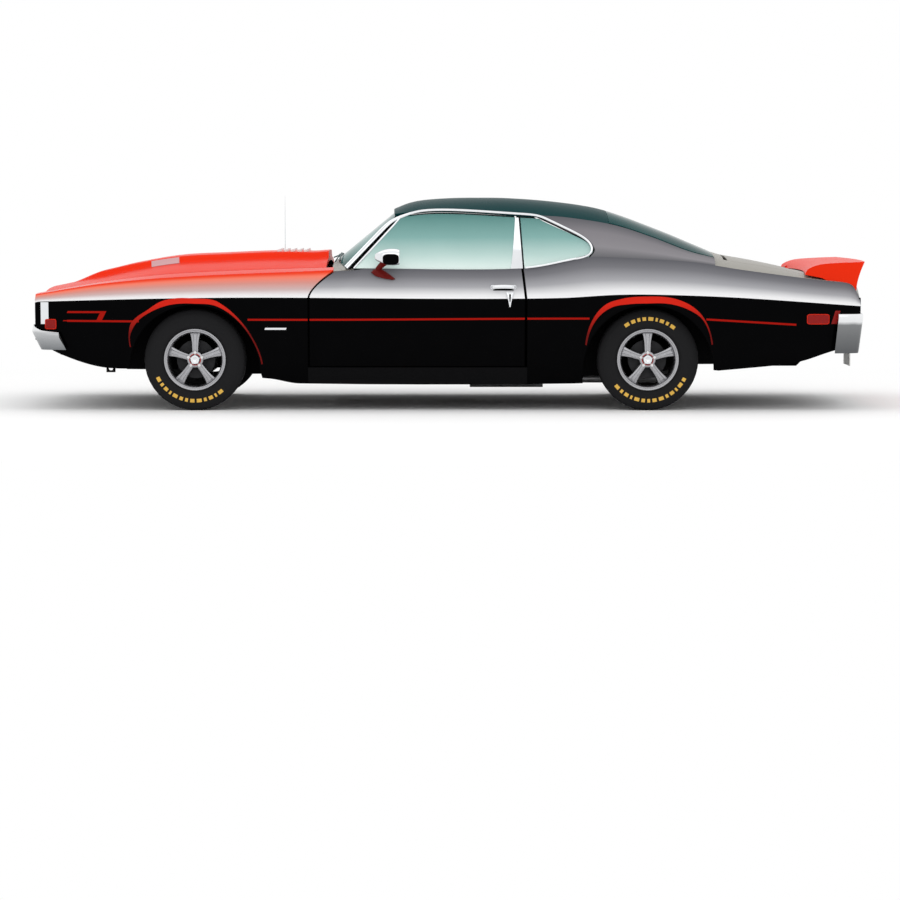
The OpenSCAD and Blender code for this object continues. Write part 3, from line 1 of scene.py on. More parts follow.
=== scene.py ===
import math
import bpy
import numpy as np
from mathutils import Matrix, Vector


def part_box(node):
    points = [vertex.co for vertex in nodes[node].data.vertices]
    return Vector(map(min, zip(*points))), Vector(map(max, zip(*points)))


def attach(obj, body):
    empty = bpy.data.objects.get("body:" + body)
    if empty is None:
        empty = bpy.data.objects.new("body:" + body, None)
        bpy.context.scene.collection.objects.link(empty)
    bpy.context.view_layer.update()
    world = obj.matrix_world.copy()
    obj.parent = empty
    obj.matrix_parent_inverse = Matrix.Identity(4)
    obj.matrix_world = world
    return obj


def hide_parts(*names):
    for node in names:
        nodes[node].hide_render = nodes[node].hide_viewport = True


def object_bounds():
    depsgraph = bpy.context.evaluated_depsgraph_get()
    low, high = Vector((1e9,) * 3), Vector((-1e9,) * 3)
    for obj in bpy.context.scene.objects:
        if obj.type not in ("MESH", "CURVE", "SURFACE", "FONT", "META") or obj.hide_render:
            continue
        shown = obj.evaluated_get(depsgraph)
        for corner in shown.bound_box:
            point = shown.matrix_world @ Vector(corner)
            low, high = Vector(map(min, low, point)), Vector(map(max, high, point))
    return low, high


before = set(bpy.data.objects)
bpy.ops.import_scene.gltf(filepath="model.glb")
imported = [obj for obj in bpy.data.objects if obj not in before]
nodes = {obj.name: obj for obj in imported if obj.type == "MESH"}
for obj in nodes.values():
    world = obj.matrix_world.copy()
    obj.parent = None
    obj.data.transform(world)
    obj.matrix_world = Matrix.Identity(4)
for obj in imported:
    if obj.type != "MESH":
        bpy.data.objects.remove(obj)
cadLow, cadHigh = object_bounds()
print("frame loaded:", len(nodes), "nodes")

# camera and light: seen from the car's left side, from about twenty metres
view = dict(distance=20.5, eyeHeight=1.34, fieldDeg=15.25, tiltDeg=4.40, sideways=0.003,
            skyLight=0.97, topWatts=60, topSize=(9.0, 5.0), sideWatts=40, sideSize=(11.0, 3.0), floorFade=3.6,
            sensor=36.0)


def middle(node):
    low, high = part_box(node)
    return (low + high) / 2


# sizes that the whole body shares, in metres
body = dict(width=1.900, panel=0.020, gap=0.008, seam=0.0003, tuck=0.075, archR=0.400, bulge=0.038, bulgeW=0.330,
            glass=0.006, glassGap=0.007, paneIn=0.012, paneTop=0.93, edge=0.003, earR=0.0126, earHalf=0.0056)
halfL = (cadHigh.x - cadLow.x) / 2
halfW = body["width"] / 2
bodyH = cadHigh.z
panel = body["panel"]
frontAxle, rearAxle = middle("tyre_front_left"), middle("tyre_rear_left")
tyreLow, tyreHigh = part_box("tyre_front_left")
tyreR = (tyreHigh.z - tyreLow.z) / 2
archZ = tyreR * 0.80

# lines of the body: share of half the length, then share of the height or of half the width
lines = dict(
    creaseZ=[(-0.986, 0.504), (-0.974, 0.513), (-0.542, 0.533), (0.026, 0.528), (0.265, 0.532), (0.401, 0.547),
             (0.511, 0.547), (0.695, 0.532), (0.986, 0.490)],
    creaseY=[(-1.0, 0.885), (-0.93, 0.930), (-0.75, 0.968), (-0.35, 0.985), (0.18, 0.985), (0.50, 1.0),
             (0.75, 0.975), (0.90, 0.940), (1.0, 0.900)],
    shoulderZ=[(-0.985, 0.545), (-0.823, 0.598), (-0.622, 0.632), (-0.281, 0.661), (-0.253, 0.668), (0.177, 0.668),
               (0.320, 0.718), (0.360, 0.723), (0.575, 0.699), (0.695, 0.662), (0.883, 0.612), (0.940, 0.600),
               (0.957, 0.585), (0.972, 0.535), (0.986, 0.500)],
    shoulderY=[(-1.0, 0.850), (-0.80, 0.900), (-0.25, 0.900), (0.18, 0.895), (0.36, 0.895), (0.65, 0.880),
               (1.0, 0.835)],
    hoodZ=[(-0.985, 0.563), (-0.836, 0.625), (-0.767, 0.658), (-0.662, 0.693), (-0.557, 0.704), (-0.417, 0.714),
           (-0.290, 0.710)],
    deckZ=[(0.60, 0.760), (0.632, 0.743), (0.667, 0.723), (0.737, 0.698), (0.807, 0.669), (0.841, 0.650),
           (0.986, 0.612)],
    roofZ=[(-0.137, 0.946), (-0.103, 0.973), (-0.067, 0.988), (0.002, 0.998), (0.070, 1.0), (0.142, 0.998),
           (0.247, 0.983), (0.352, 0.954), (0.422, 0.915), (0.527, 0.836), (0.597, 0.777), (0.640, 0.740)],
    dripZ=[(-0.132, 0.924), (-0.051, 0.942), (0.022, 0.942), (0.157, 0.926), (0.219, 0.918), (0.286, 0.908),
           (0.396, 0.873), (0.487, 0.816), (0.575, 0.748), (0.640, 0.716)],
    dripY=[(-0.132, 0.640), (0.02, 0.670), (0.22, 0.680), (0.40, 0.700), (0.575, 0.770), (0.640, 0.810)],
    sillZ=[(-0.986, 0.340), (-0.925, 0.268), (-0.831, 0.206), (-0.731, 0.195), (-0.431, 0.150), (-0.36, 0.127),
           (0.30, 0.127), (0.40, 0.150), (0.695, 0.198), (0.825, 0.228), (0.898, 0.274), (0.986, 0.330)],
    sailFront=[(0, 0.336), (0.12, 0.346), (0.25, 0.348), (0.5, 0.330), (0.75, 0.282), (1, 0.219)],
    paneSplit=[(0, 0.177), (1, 0.168)],
    doorGlassFront=[(0, -0.231), (1, -0.120)])
# places along the body, as shares of half the length; then shares across it and of its height
places = dict(nose=-0.981, tail=0.972, hoodFront=-0.968, hoodBack=-0.297, bulgeStart=-0.93, bulgeFull=-0.84,
              deckFront=0.667, deckBack=0.958, doorFront=-0.336, doorBack=0.183, doorLean=0.060, doorBackLean=-0.008,
              header=-0.137, headerSide=-0.132, backGlass=0.385, sailBack=0.633, tulipBack=0.6575, pillarFoot=-0.252,
              cowlFore=-0.2835, cowlBack=-0.231, glassBase=-0.277, glassBaseSide=-0.250)
hoodEdgeShare, deckEdgeShare, sillShare = 0.875, 0.78, 0.127
cowl = dict(mid=0.697, side=0.653, rise=0.020, footWide=0.752, headWide=0.925)
axleShares = (-0.6109589, 0.4759295)
doorSides = (("left", -1), ("right", 1))


def flow(t, rows):
    rows, t = np.array(rows, float), np.asarray(t, float)
    k = np.arange(len(rows))
    low, high = np.maximum(k - 1, 0), np.minimum(k + 1, len(rows) - 1)
    slope = (rows[high, 1] - rows[low, 1]) / (rows[high, 0] - rows[low, 0])
    i = np.clip(np.searchsorted(rows[:, 0], t, side="right") - 1, 0, len(rows) - 2)
    h = rows[i + 1, 0] - rows[i, 0]
    s = np.clip((t - rows[i, 0]) / h, 0, 1)
    return ((2 * s**3 - 3 * s**2 + 1) * rows[i, 1] + (s**3 - 2 * s**2 + s) * h * slope[i]
            + (3 * s**2 - 2 * s**3) * rows[i + 1, 1] + (s**3 - s**2) * h * slope[i + 1])


# shares of half the length stretch between the bumpers and the axles, which stand at axleShares
def along(share):
    return np.interp(share, [-1, *axleShares, 1], [-halfL, frontAxle.x, rearAxle.x, halfL])


def shareOf(x):
    return np.interp(x, [-halfL, frontAxle.x, rearAxle.x, halfL], [-1, *axleShares, 1])


def lineZ(name, x):
    return bodyH * flow(shareOf(x), lines[name])


def lineY(name, x):
    return halfW * flow(shareOf(x), lines[name])


def at(place):
    return along(places[place])


def mix(a, b, s):
    return a + (b - a) * s


def xyz(x, y, z):
    return np.stack(np.broadcast_arrays(x, y, z), -1)


def circle(n):
    return np.linspace(0, 2 * np.pi, n, endpoint=False)


# cosines and sines of a circle pressed towards the sides of a box
def squared(c, power):
    return np.sign(c) * abs(c) ** power


def ease(t):
    t = np.clip(t, 0, 1)
    return t * t * (3 - 2 * t)


def flare(x, z, axle):
    d = np.hypot(x - axle.x, z - archZ) - body["archR"]
    return panel * 0.7 * np.clip(1 - np.maximum(d, 0) / (panel * 2.4), 0, 1) ** 2


def sideY(x, z):
    crease, wide = lineZ("creaseZ", x), lineY("creaseY", x)
    t = np.clip((crease - z) / (crease - bodyH * sillShare), 0, 1)
    up = np.clip((z - crease) / (lineZ("shoulderZ", x) - crease), 0, 1)
    flank = wide - body["tuck"] * (0.2 * t**0.6 + 0.8 * t**3)
    lean = mix(wide, lineY("shoulderY", x), up**1.35)
    return np.where(z < crease, flank, lean) + flare(x, z, frontAxle) + flare(x, z, rearAxle)


def hoodFlat(x, y):
    return mix(lineZ("hoodZ", x), lineZ("shoulderZ", x), (abs(y) / lineY("shoulderY", x)) ** 2.2)


def hoodTop(x, y):
    flank = ease((body["bulgeW"] - abs(y)) / (body["bulgeW"] * 0.22))
    start, full = at("bulgeStart"), at("bulgeFull")
    return hoodFlat(x, y) + body["bulge"] * flank * ease((x - start) / (full - start))


def deckTop(x, y):
    return mix(lineZ("deckZ", x), lineZ("shoulderZ", x), (abs(y) / lineY("shoulderY", x)) ** 4)


def roofPoint(x, s):
    return xyz(x, s * lineY("dripY", x), mix(lineZ("roofZ", x), lineZ("dripZ", x), abs(s) ** 2.4))


def sailPoint(x, s):
    return xyz(x, mix(lineY("shoulderY", x), lineY("dripY", x), s) + panel * 0.8 * np.sin(np.pi * s),
               mix(lineZ("shoulderZ", x), lineZ("dripZ", x), s))


def lowZ(x):
    low = lineZ("sillZ", x)
    for axle in (frontAxle, rearAxle):
        inside = abs(x - axle.x) < body["archR"]
        arc = archZ + np.sqrt(np.maximum(body["archR"] ** 2 - (x - axle.x) ** 2, 0))
        low = np.where(inside, np.maximum(low, arc), low)
    return low


def beltShare(x, z):
    crease = lineZ("creaseZ", x)
    return np.clip((z - crease) / (lineZ("shoulderZ", x) - crease), 0, 1)


def doorFront(z):
    return at("doorFront") + halfL * places["doorLean"] * beltShare(at("doorFront"), z) ** 1.6


def doorBack(z):
    return at("doorBack") + halfL * places["doorBackLean"] * beltShare(at("doorBack"), z)


def cowlZ(x, s):
    u = np.clip((x - at("cowlFore")) / (at("cowlBack") - at("cowlFore")), 0, 1)
    return bodyH * (mix(cowl["mid"], cowl["side"], s**2) + u * cowl["rise"] * (1 - 0.5 * s**2))


def panePoint(x, s):
    p = sailPoint(x, np.asarray(s) * body["paneTop"])
    p[..., 1] -= body["paneIn"]
    p[..., 2] += (1 - np.asarray(s)) * body["seam"] * 3
    return p


def shifted(grid, dx=0, dy=0, dz=0):
    moved = grid.copy()
    moved[..., 0] += dx
    moved[..., 1] += dy
    moved[..., 2] += dz
    return moved


# gathers shells, lofts and bars into one closed mesh
class Shape:
    def __init__(self):
        self.points, self.faces, self.mats, self.coords, self.sharp = [], [], [], [], []
        self.count = 0

    def add(self, points, faces, mats, coords=None, sharp=(), both=False):
        points = np.asarray(points, float).reshape(-1, 3)
        volume = sum(np.dot(points[f[0]], np.cross(points[f[k]], points[f[k + 1]]))
                     for f in faces for k in range(1, len(f) - 1))
        if volume < 0:
            faces = [f[::-1] for f in faces]
        coords = np.zeros((len(points), 2)) if coords is None else np.asarray(coords).reshape(-1, 2)
        for side in ((1, -1) if both else (1,)):
            self.points.append(points * (1, side, 1))
            self.faces += [tuple(int(i) + self.count for i in (f if side > 0 else f[::-1])) for f in faces]
            self.mats += list(mats)
            self.coords.append(coords)
            self.sharp += [(a + self.count, b + self.count) for a, b in sharp]
            self.count += len(points)
        return self

    # outer and inner grids become a closed shell; skin gives each row's finish, rowV a place across the panel
    def shell(self, outer, inner, skin=0, back=0, rowV=None, creaseRow=None, both=False):
        nu, nv = outer.shape[:2]
        grid = np.arange(nu * nv).reshape(nu, nv)
        quads = np.stack([grid[:-1, :-1], grid[1:, :-1], grid[1:, 1:], grid[:-1, 1:]], -1).reshape(-1, 4)
        rim = np.concatenate([grid[0, :-1], grid[:-1, -1], grid[-1, :0:-1], grid[:0:-1, 0]])
        nxt, deep = np.roll(rim, -1), nu * nv
        walls = np.stack([rim, nxt, nxt + deep, rim + deep], -1)
        faces = [tuple(q) for q in quads] + [tuple(q) for q in quads[:, ::-1] + deep] + [tuple(q) for q in walls]
        rowSkin = np.broadcast_to(skin, nv - 1)
        wallSkin = np.concatenate([rowSkin, [rowSkin[-1]] * (nu - 1), rowSkin[::-1], [rowSkin[0]] * (nu - 1)])
        mats = list(np.tile(rowSkin, nu - 1)) + [back] * len(quads) + list(wallSkin)
        v = np.linspace(0, 1, nv) if rowV is None else np.asarray(rowV)
        coords = np.stack([outer[..., 0], np.broadcast_to(v, (nu, nv))], -1)
        sharp = [] if creaseRow is None else [(i * nv + creaseRow, (i + 1) * nv + creaseRow) for i in range(nu - 1)]
        return self.add(np.concatenate([outer.reshape(-1, 3), inner.reshape(-1, 3)]), faces, mats,
                        np.concatenate([coords, coords]), sharp, both)

    # sections with the same number of points, closed at both ends unless the loft is a ring
    def loft(self, sections, skin=0, ring=False, both=False):
        sections = np.asarray(sections, float)
        n, k = sections.shape[:2]
        faces = []
        for i in range(n if ring else n - 1):
            for j in range(k):
                a, b = i * k + j, i * k + (j + 1) % k
                c, d = ((i + 1) % n) * k + (j + 1) % k, ((i + 1) % n) * k + j
                faces.append((a, b, c, d))
        if not ring:
            faces += [tuple(range(k))[::-1], tuple((n - 1) * k + j for j in range(k))]
        return self.add(sections, faces, [skin] * len(faces), both=both)

    # a rounded bar along a path; across gives the direction in which its width lies
    def bar(self, path, across, wide, thin, skin=0, k=10, ring=False, both=False):
        path = np.asarray(path, float)
        run = np.roll(path, -1, 0) - np.roll(path, 1, 0) if ring else np.gradient(path, axis=0)
        run /= np.linalg.norm(run, axis=1)[:, None]
        across = np.broadcast_to(np.asarray(across, float), path.shape)
        out = np.cross(run, across)
        out /= np.linalg.norm(out, axis=1)[:, None]
        across = np.cross(out, run)
        a = circle(k)[None, :, None]
        wide = np.broadcast_to(wide, len(path))[:, None, None] / 2
        thin = np.broadcast_to(thin, len(path))[:, None, None] / 2
        ringPoints = path[:, None] + across[:, None] * np.cos(a) * wide + out[:, None] * np.sin(a) * thin
        return self.loft(ringPoints, skin, ring, both)

    # a profile of (radius, place along the axle) turned about an axle along Y; dents(n, profile) lowers points
    def turn(self, centre, profile, n=96, skin=0, dents=None):
        profile = np.asarray(profile, float)
        a = circle(n)
        r = np.broadcast_to(profile[:, 0], (n, len(profile))).copy()
        if dents is not None:
            r -= dents(n, profile)
        ringPoints = xyz(centre[0] + r * np.sin(a)[:, None], centre[1] + np.broadcast_to(profile[:, 1], r.shape),
                         centre[2] + r * np.cos(a)[:, None])
        return self.loft(ringPoints, skin, ring=True)

    def piece(self, name, rides, mats, slot, stands=(), bevel=0.0, segments=2, angle=38):
        points = np.concatenate(self.points)
        mesh = bpy.data.meshes.new(name)
        mesh.from_pydata(points.tolist(), [], self.faces)
        for m in mats:
            mesh.materials.append(m)
        mesh.polygons.foreach_set("material_index", np.array(self.mats, np.int32))
        layer = mesh.uv_layers.new(name="across")
        corners = np.zeros(len(mesh.loops), np.int32)
        mesh.loops.foreach_get("vertex_index", corners)
        layer.data.foreach_set("uv", np.concatenate(self.coords)[corners].astype(np.float32).ravel())
        mesh.polygons.foreach_set("use_smooth", np.ones(len(mesh.polygons), bool))
        mesh.set_sharp_from_angle(angle=math.radians(angle))
        if self.sharp:
            wanted = {tuple(sorted(e)) for e in self.sharp}
            for e in mesh.edges:
                if tuple(sorted(e.vertices)) in wanted:
                    e.use_edge_sharp = True
        made = linked(name, mesh)
        if bevel:
            soften(made, bevel, segments, 50)
        return settle(made, rides, stands)


def linked(name, data):
    made = bpy.data.objects.new(name, data)
    bpy.context.scene.collection.objects.link(made)
    return made


def evaluated(made):
    return bpy.data.meshes.new_from_object(made.evaluated_get(bpy.context.evaluated_depsgraph_get()))


def soften(made, width, segments, degrees):
    soft = made.modifiers.new("softEdge", "BEVEL")
    soft.width, soft.segments, soft.limit_method = width, segments, "ANGLE"
    soft.angle_limit = math.radians(degrees)


def settle(made, rides, stands=()):
    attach(made, rides)
    if stands:
        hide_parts(*stands)
    return made


# a value in a shader tree: plain arithmetic on it adds Math nodes
class Value:
    def __init__(self, finish, socket):
        self.finish, self.socket = finish, socket

    def math(self, operation, *others):
        return self.finish.node("Math", dict(operation=operation), [self, *others])

    def __add__(self, other):
        return self.math("ADD", other)

    def __sub__(self, other):
        return self.math("SUBTRACT", other)

    def __rsub__(self, other):
        return self.finish.node("Math", dict(operation="SUBTRACT"), [other, self])

    def __mul__(self, other):
        return self.math("MULTIPLY", other)

    def __truediv__(self, other):
        return self.math("DIVIDE", other)

    __radd__, __rmul__ = __add__, __mul__

    def over(self, edge, soft=0.0005):
        return self.finish.node("MapRange", {}, {"Value": self, "From Min": edge - soft, "From Max": edge + soft})

    def between(self, low, high, soft=0.0005):
        return self.over(low, soft) * (1 - self.over(high, soft))

    def output(self, name):
        return Value(self.finish, self.socket.node.outputs[name])


# one material: its shader's plain sockets are set here, and its patterns are added by node()
class Finish:
    def __init__(self, name, colour, roughness, metallic=0.0, specular=0.5, alpha=1.0):
        self.material = bpy.data.materials.new(name)
        self.material.use_nodes = True
        self.tree = self.material.node_tree
        self.shader = self.tree.nodes["Principled BSDF"]
        self.material.diffuse_color = (*colour, 1.0)
        self.feed("Base Color", (*colour, 1.0))
        for socket, value in (("Roughness", roughness), ("Metallic", metallic), ("Specular IOR Level", specular),
                              ("Alpha", alpha)):
            self.feed(socket, value)
        self.places = {}

    def feed(self, socket, value):
        target = self.shader.inputs[socket]
        if isinstance(value, Value):
            self.tree.links.new(value.socket, target)
        else:
            target.default_value = value
        return self

    def node(self, kind, settings, sockets):
        made = self.tree.nodes.new("ShaderNode" + kind)
        for key, value in settings.items():
            if key == "stops":
                while len(made.color_ramp.elements) < len(value):
                    made.color_ramp.elements.new(0.5)
                for stop, (place, colour) in zip(made.color_ramp.elements, value):
                    stop.position, stop.color = place, (*colour, 1.0)
            else:
                setattr(made, key, value)
        for key, value in (sockets.items() if isinstance(sockets, dict) else enumerate(sockets)):
            if isinstance(value, Value):
                self.tree.links.new(value.socket, made.inputs[key])
            else:
                made.inputs[key].default_value = value
        return Value(self, next(o for o in made.outputs if o.enabled))

    # place on the object, in metres
    def axis(self, name):
        if not self.places:
            place = self.node("TexCoord", {}, {}).output("Object")
            split = self.node("SeparateXYZ", {}, {0: place})
            self.places = dict(point=place, x=split, y=split.output("Y"), z=split.output("Z"))
        return self.places[name]

    # place across a panel, from its UV map
    def across(self):
        coords = self.node("UVMap", dict(uv_map="across"), {})
        return self.node("SeparateXYZ", {}, {0: coords}).output("Y")

    def noise(self, scale, detail=3.0):
        return self.node("TexNoise", {}, {"Vector": self.axis("point"), "Scale": scale, "Detail": detail})

    def blend(self, amount, first, second):
        return self.node("Mix", dict(data_type="RGBA"), {0: amount, 6: first, 7: second})

    def bump(self, height, strength, distance):
        bumps = self.node("Bump", {}, {"Height": height, "Strength": strength, "Distance": distance})
        return self.feed("Normal", bumps).material

    # colour and place of each stop, at the place given by value
    def ramp(self, stops, value):
        return self.feed("Base Color", self.node("ValToRGB", dict(stops=stops), {0: value}))

    def speckle(self, scale, colour, second, rough=None):
        grain = self.noise(scale)
        self.feed("Base Color", self.blend(grain, (*colour, 1.0), (*second, 1.0)))
        if rough:
            self.feed("Roughness", rough[0] + grain * (rough[1] - rough[0]))
        return grain


# colours are linear; each piece of trim and paint has its own finish
colours = dict(black=(0.0006, 0.0006, 0.0008), red=(0.80, 0.024, 0.004), darkRed=(0.36, 0.008, 0.004),
               white=(0.86, 0.86, 0.87), charcoal=(0.105, 0.105, 0.118), sand=(0.30, 0.285, 0.255),
               chrome=(0.86, 0.87, 0.88), glassTop=(0.055, 0.19, 0.178), glassLow=(0.80, 0.92, 0.88),
               gold=(0.72, 0.40, 0.055), rubber=(0.012, 0.012, 0.013), alloy=(0.46, 0.46, 0.48),
               vinyl=(0.016, 0.016, 0.018))
pinstripe = dict(z=0.562, wide=0.012, noseDrop=0.014, tailSlope=0.055, tailFrom=1.5, waveH=0.004, waveRate=1.6,
                 ends=(-2.340, 2.12), markX=(-2.366, -2.128), markZ=(0.548, 0.604), markEnd=0.034, markSlant=0.5,
                 archGaps=((-0.338, 0.328), (-0.362, 0.352)))


def lowerPaint():
    f = Finish("sideBlack", colours["black"], 0.16, specular=0.02)
    x, z = f.axis("x"), f.axis("z")
    half = pinstripe["wide"] / 2
    nose = 1 - x.over(frontAxle.x, 0.2)
    wave = z - pinstripe["waveH"] * (x * pinstripe["waveRate"]).math("SINE") - pinstripe["z"]
    wave = wave + pinstripe["noseDrop"] * nose
    wave = wave + pinstripe["tailSlope"] * (x - pinstripe["tailFrom"]).math("MAXIMUM", 0.0)
    stripe = wave.between(-half, half) * x.between(*pinstripe["ends"])
    for axle, (fore, aft) in zip((frontAxle, rearAxle), pinstripe["archGaps"]):
        stripe = stripe * (1 - x.between(axle.x + fore, axle.x + aft))
    (x0, x1), (z0, z1) = pinstripe["markX"], pinstripe["markZ"]
    slant = x - pinstripe["markSlant"] * (z - z0)
    frameBox = slant.between(x0, x1) * z.between(z0, z1 + half)
    hollow = slant.between(x0 - 0.05, x1 - pinstripe["markEnd"]) * z.between(z0 + half, z1 - half)
    mask = (stripe + frameBox * (1 - hollow)).math("MINIMUM", 1.0)
    dust = f.noise(9.0)
    ground = f.blend(dust, (*colours["black"], 1), (0.0012, 0.0012, 0.0015, 1))
    f.feed("Base Color", f.blend(mask, ground, (*colours["darkRed"], 1)))
    f.feed("Roughness", 0.12 + 0.10 * dust)
    return f.bump(f.noise(900.0, 1.0), 0.03, 0.0004)


# above the crease a painted reflection: the colour fades out of white at the crease, where the leaning panel would
# mirror the bright surroundings
def reflectionFade(name, stops, rough):
    f = Finish(name, stops[-1][1], rough, specular=0.08)
    grain = f.noise(1400.0, 1.0)
    v = f.across() + 0.02 * (f.noise(3.0) - 0.5)
    f.ramp(stops, v)
    f.feed("Roughness", rough + 0.06 * grain)
    return f.bump(grain, 0.03, 0.0003)


def flakePaint(name, colour, second, rough=0.25, specular=0.07):
    f = Finish(name, colour, rough, specular=specular)
    grain = f.speckle(700.0, colour, second, (rough, rough + 0.08))
    return f.bump(grain, 0.04, 0.0003)


def chromePlate():
    f = Finish("chromePlate", colours["chrome"], 0.06, 1.0)
    haze = f.noise(14.0)
    f.feed("Base Color", f.blend(haze, (*colours["chrome"], 1), (0.74, 0.76, 0.79, 1)))
    return f.feed("Roughness", 0.04 + 0.09 * haze).material


def tintedGlass():
    f = Finish("tintedGlass", colours["glassLow"], 0.03, specular=0.3, alpha=0.9)
    z = f.axis("z") + 0.015 * (f.noise(5.0) - 0.5)
    f.ramp([(0.0, colours["glassLow"]), (0.25, (0.50, 0.68, 0.64)), (0.55, (0.21, 0.41, 0.385)),
            (0.85, (0.105, 0.27, 0.25)), (1.0, colours["glassTop"])], (z - 0.86) / 0.36)
    return f.feed("Alpha", 0.86 + 0.08 * f.noise(2.0)).material


# the back window and the wipers are darker
def darkGlass():
    f = Finish("darkGlass", (0.004, 0.05, 0.05), 0.06, specular=0.004, alpha=0.93)
    haze = f.noise(3.0)
    f.feed("Base Color", f.blend(haze, (0.004, 0.042, 0.044, 1), (0.010, 0.075, 0.075, 1)))
    return f.feed("Alpha", 0.90 + 0.06 * haze).material


def screenGlass():
    f = Finish("screenGlass", (0.10, 0.24, 0.225), 0.05, specular=0.01, alpha=0.92)
    z = f.axis("z") + 0.02 * (f.noise(5.0) - 0.5)
    f.ramp([(0.0, (0.012, 0.055, 0.053)), (0.16, (0.06, 0.18, 0.17)), (0.5, (0.20, 0.37, 0.35)),
            (0.85, (0.07, 0.18, 0.175)), (1.0, (0.010, 0.060, 0.058))], (z - 0.88) / 0.34)
    return f.feed("Alpha", 0.90 + 0.06 * f.noise(2.0)).material


# chrome of the bumpers, with a painted reflection in its colour: bright ledge where the sky shows in it, dark where the
# road shows in it
def reflectionChrome(name, stops, low, tall):
    f = Finish(name, colours["chrome"], 0.10, 1.0)
    z = f.axis("z") + 0.02 * (f.noise(7.0) - 0.5)
    f.ramp(stops, (z - low) / tall)
    return f.feed("Roughness", 0.08 + 0.12 * f.noise(30.0)).material


# red of the arch bands, darker down the legs
def bandPaint():
    f = Finish("bandRed", (0.55, 0.012, 0.005), 0.25, specular=0.07)
    grain = f.noise(700.0)
    leg = f.axis("z").over(0.56, 0.09)
    f.feed("Base Color", f.blend(leg, (0.14, 0.004, 0.003, 1), (0.62, 0.016, 0.006, 1)))
    return f.feed("Roughness", 0.22 + 0.1 * grain).material


def tyreRubber():
    f = Finish("tyreRubber", colours["rubber"], 0.6, specular=0.06)
    grain = f.speckle(160.0, colours["rubber"], (0.015, 0.015, 0.016), (0.5, 0.72))
    return f.bump(grain, 0.25, 0.0008)


def spunAlloy(name, colour, rough):
    f = Finish(name, colour, rough, 1.0)
    grain = f.node("TexNoise", {}, {"Vector": f.axis("point"), "Scale": 60.0, "Detail": 6.0, "Roughness": 0.75})
    f.feed("Base Color", f.blend(grain, (*colour, 1), tuple(c * 0.7 for c in colour) + (1,)))
    f.feed("Roughness", rough + 0.14 * grain)
    return f.bump(grain, 0.05, 0.0004)


def grainedVinyl(name, colour, scale=420.0):
    f = Finish(name, colour, 0.45, specular=0.4)
    cells = f.node("TexVoronoi", dict(feature="DISTANCE_TO_EDGE"), {"Vector": f.axis("point"), "Scale": scale})
    wear = f.noise(12.0)
    f.feed("Base Color", f.blend(wear, (*colour, 1), tuple(c * 1.9 for c in colour) + (1,)))
    f.feed("Roughness", 0.36 + 0.2 * wear)
    return f.bump(cells.math("MINIMUM", 0.2), 0.5, 0.0006)


def roughMetal(name, colour, second, rough, metallic, scale=90.0, bump=0.2):
    f = Finish(name, colour, rough[0], metallic, 0.08 if metallic else 0.02)
    grain = f.speckle(scale, colour, second, rough)
    return f.bump(grain, bump, 0.001)


def lensFinish(name, colour):
    f = Finish(name, colour, 0.12, specular=0.12)
    rate = 1200.0
    ribs = (f.axis("z") * rate).math("SINE") * (f.axis("y") * rate + f.axis("x") * rate).math("SINE")
    bright = tuple(min(c * 1.6 + 0.01, 1) for c in colour)
    f.feed("Base Color", f.blend(ribs * 0.5 + 0.5, (*colour, 1), (*bright, 1)))
    return f.bump(ribs, 0.15, 0.0006)


# stops above the crease: the white at the crease is painted reflection, the red of the fender tops is their own paint,
# the greys on doors and quarters are painted reflection on black, and the lighter middle band of the sail is painted
# sheen
redReflectionStops = [(0.0, colours["white"]), (0.12, (0.78, 0.75, 0.76)), (0.32, (0.57, 0.42, 0.41)),
            (0.58, (0.62, 0.27, 0.23)), (0.80, (0.84, 0.20, 0.13)), (0.92, (0.80, 0.06, 0.02)), (1.0, colours["red"])]
greyReflectionStops = [(0.0, colours["white"]), (0.12, (0.78, 0.78, 0.79)), (0.40, (0.36, 0.36, 0.38)),
             (0.75, (0.17, 0.17, 0.185)), (1.0, colours["charcoal"])]
sailReflectionStops = [(0.0, (0.125, 0.125, 0.135)), (0.3, (0.24, 0.23, 0.245)), (0.7, (0.20, 0.19, 0.205)),
             (1.0, (0.10, 0.10, 0.112))]
# painted reflection in the bumper chrome, from dark low down to the bright ledge
frontChromeReflection = [(0.0, (0.20, 0.21, 0.22)), (0.35, (0.34, 0.35, 0.36)), (0.62, (0.50, 0.51, 0.52)),
              (0.72, (0.82, 0.83, 0.84)), (1.0, (0.88, 0.89, 0.90))]
rearChromeReflection = [(0.0, (0.10, 0.105, 0.11)), (0.40, (0.16, 0.165, 0.17)), (0.74, (0.22, 0.225, 0.23)),
             (0.82, (0.80, 0.81, 0.82)), (1.0, (0.88, 0.89, 0.90))]
sideBlack = lowerPaint()
# fenders, doors and quarters, and sails: own paint with a painted reflection that fades to white at the crease
fenderReflection = reflectionFade("fenderReflection", redReflectionStops, 0.18)
bodyReflection = reflectionFade("bodyReflection", greyReflectionStops, 0.20)
sailReflection = reflectionFade("sailReflection", sailReflectionStops, 0.22)
hoodRed = flakePaint("hoodRed", (0.84, 0.022, 0.005), (0.78, 0.034, 0.007), specular=0.02)
roofTeal = flakePaint("roofTeal", (0.0035, 0.044, 0.047), (0.005, 0.036, 0.039), 0.24, 0.004)
deckSand = flakePaint("deckSand", colours["sand"], (0.33, 0.32, 0.29), 0.3)
plainBlack = flakePaint("plainBlack", colours["black"], (0.002, 0.002, 0.0023), 0.4, 0.02)
chrome = chromePlate()
glassTint = tintedGlass()
backTint = darkGlass()
screenTint = screenGlass()
bandRed = bandPaint()
frontChrome = reflectionChrome("frontChrome", frontChromeReflection, 0.37, 0.17)
rearChrome = reflectionChrome("rearChrome", rearChromeReflection, 0.34, 0.25)
rubber = tyreRubber()
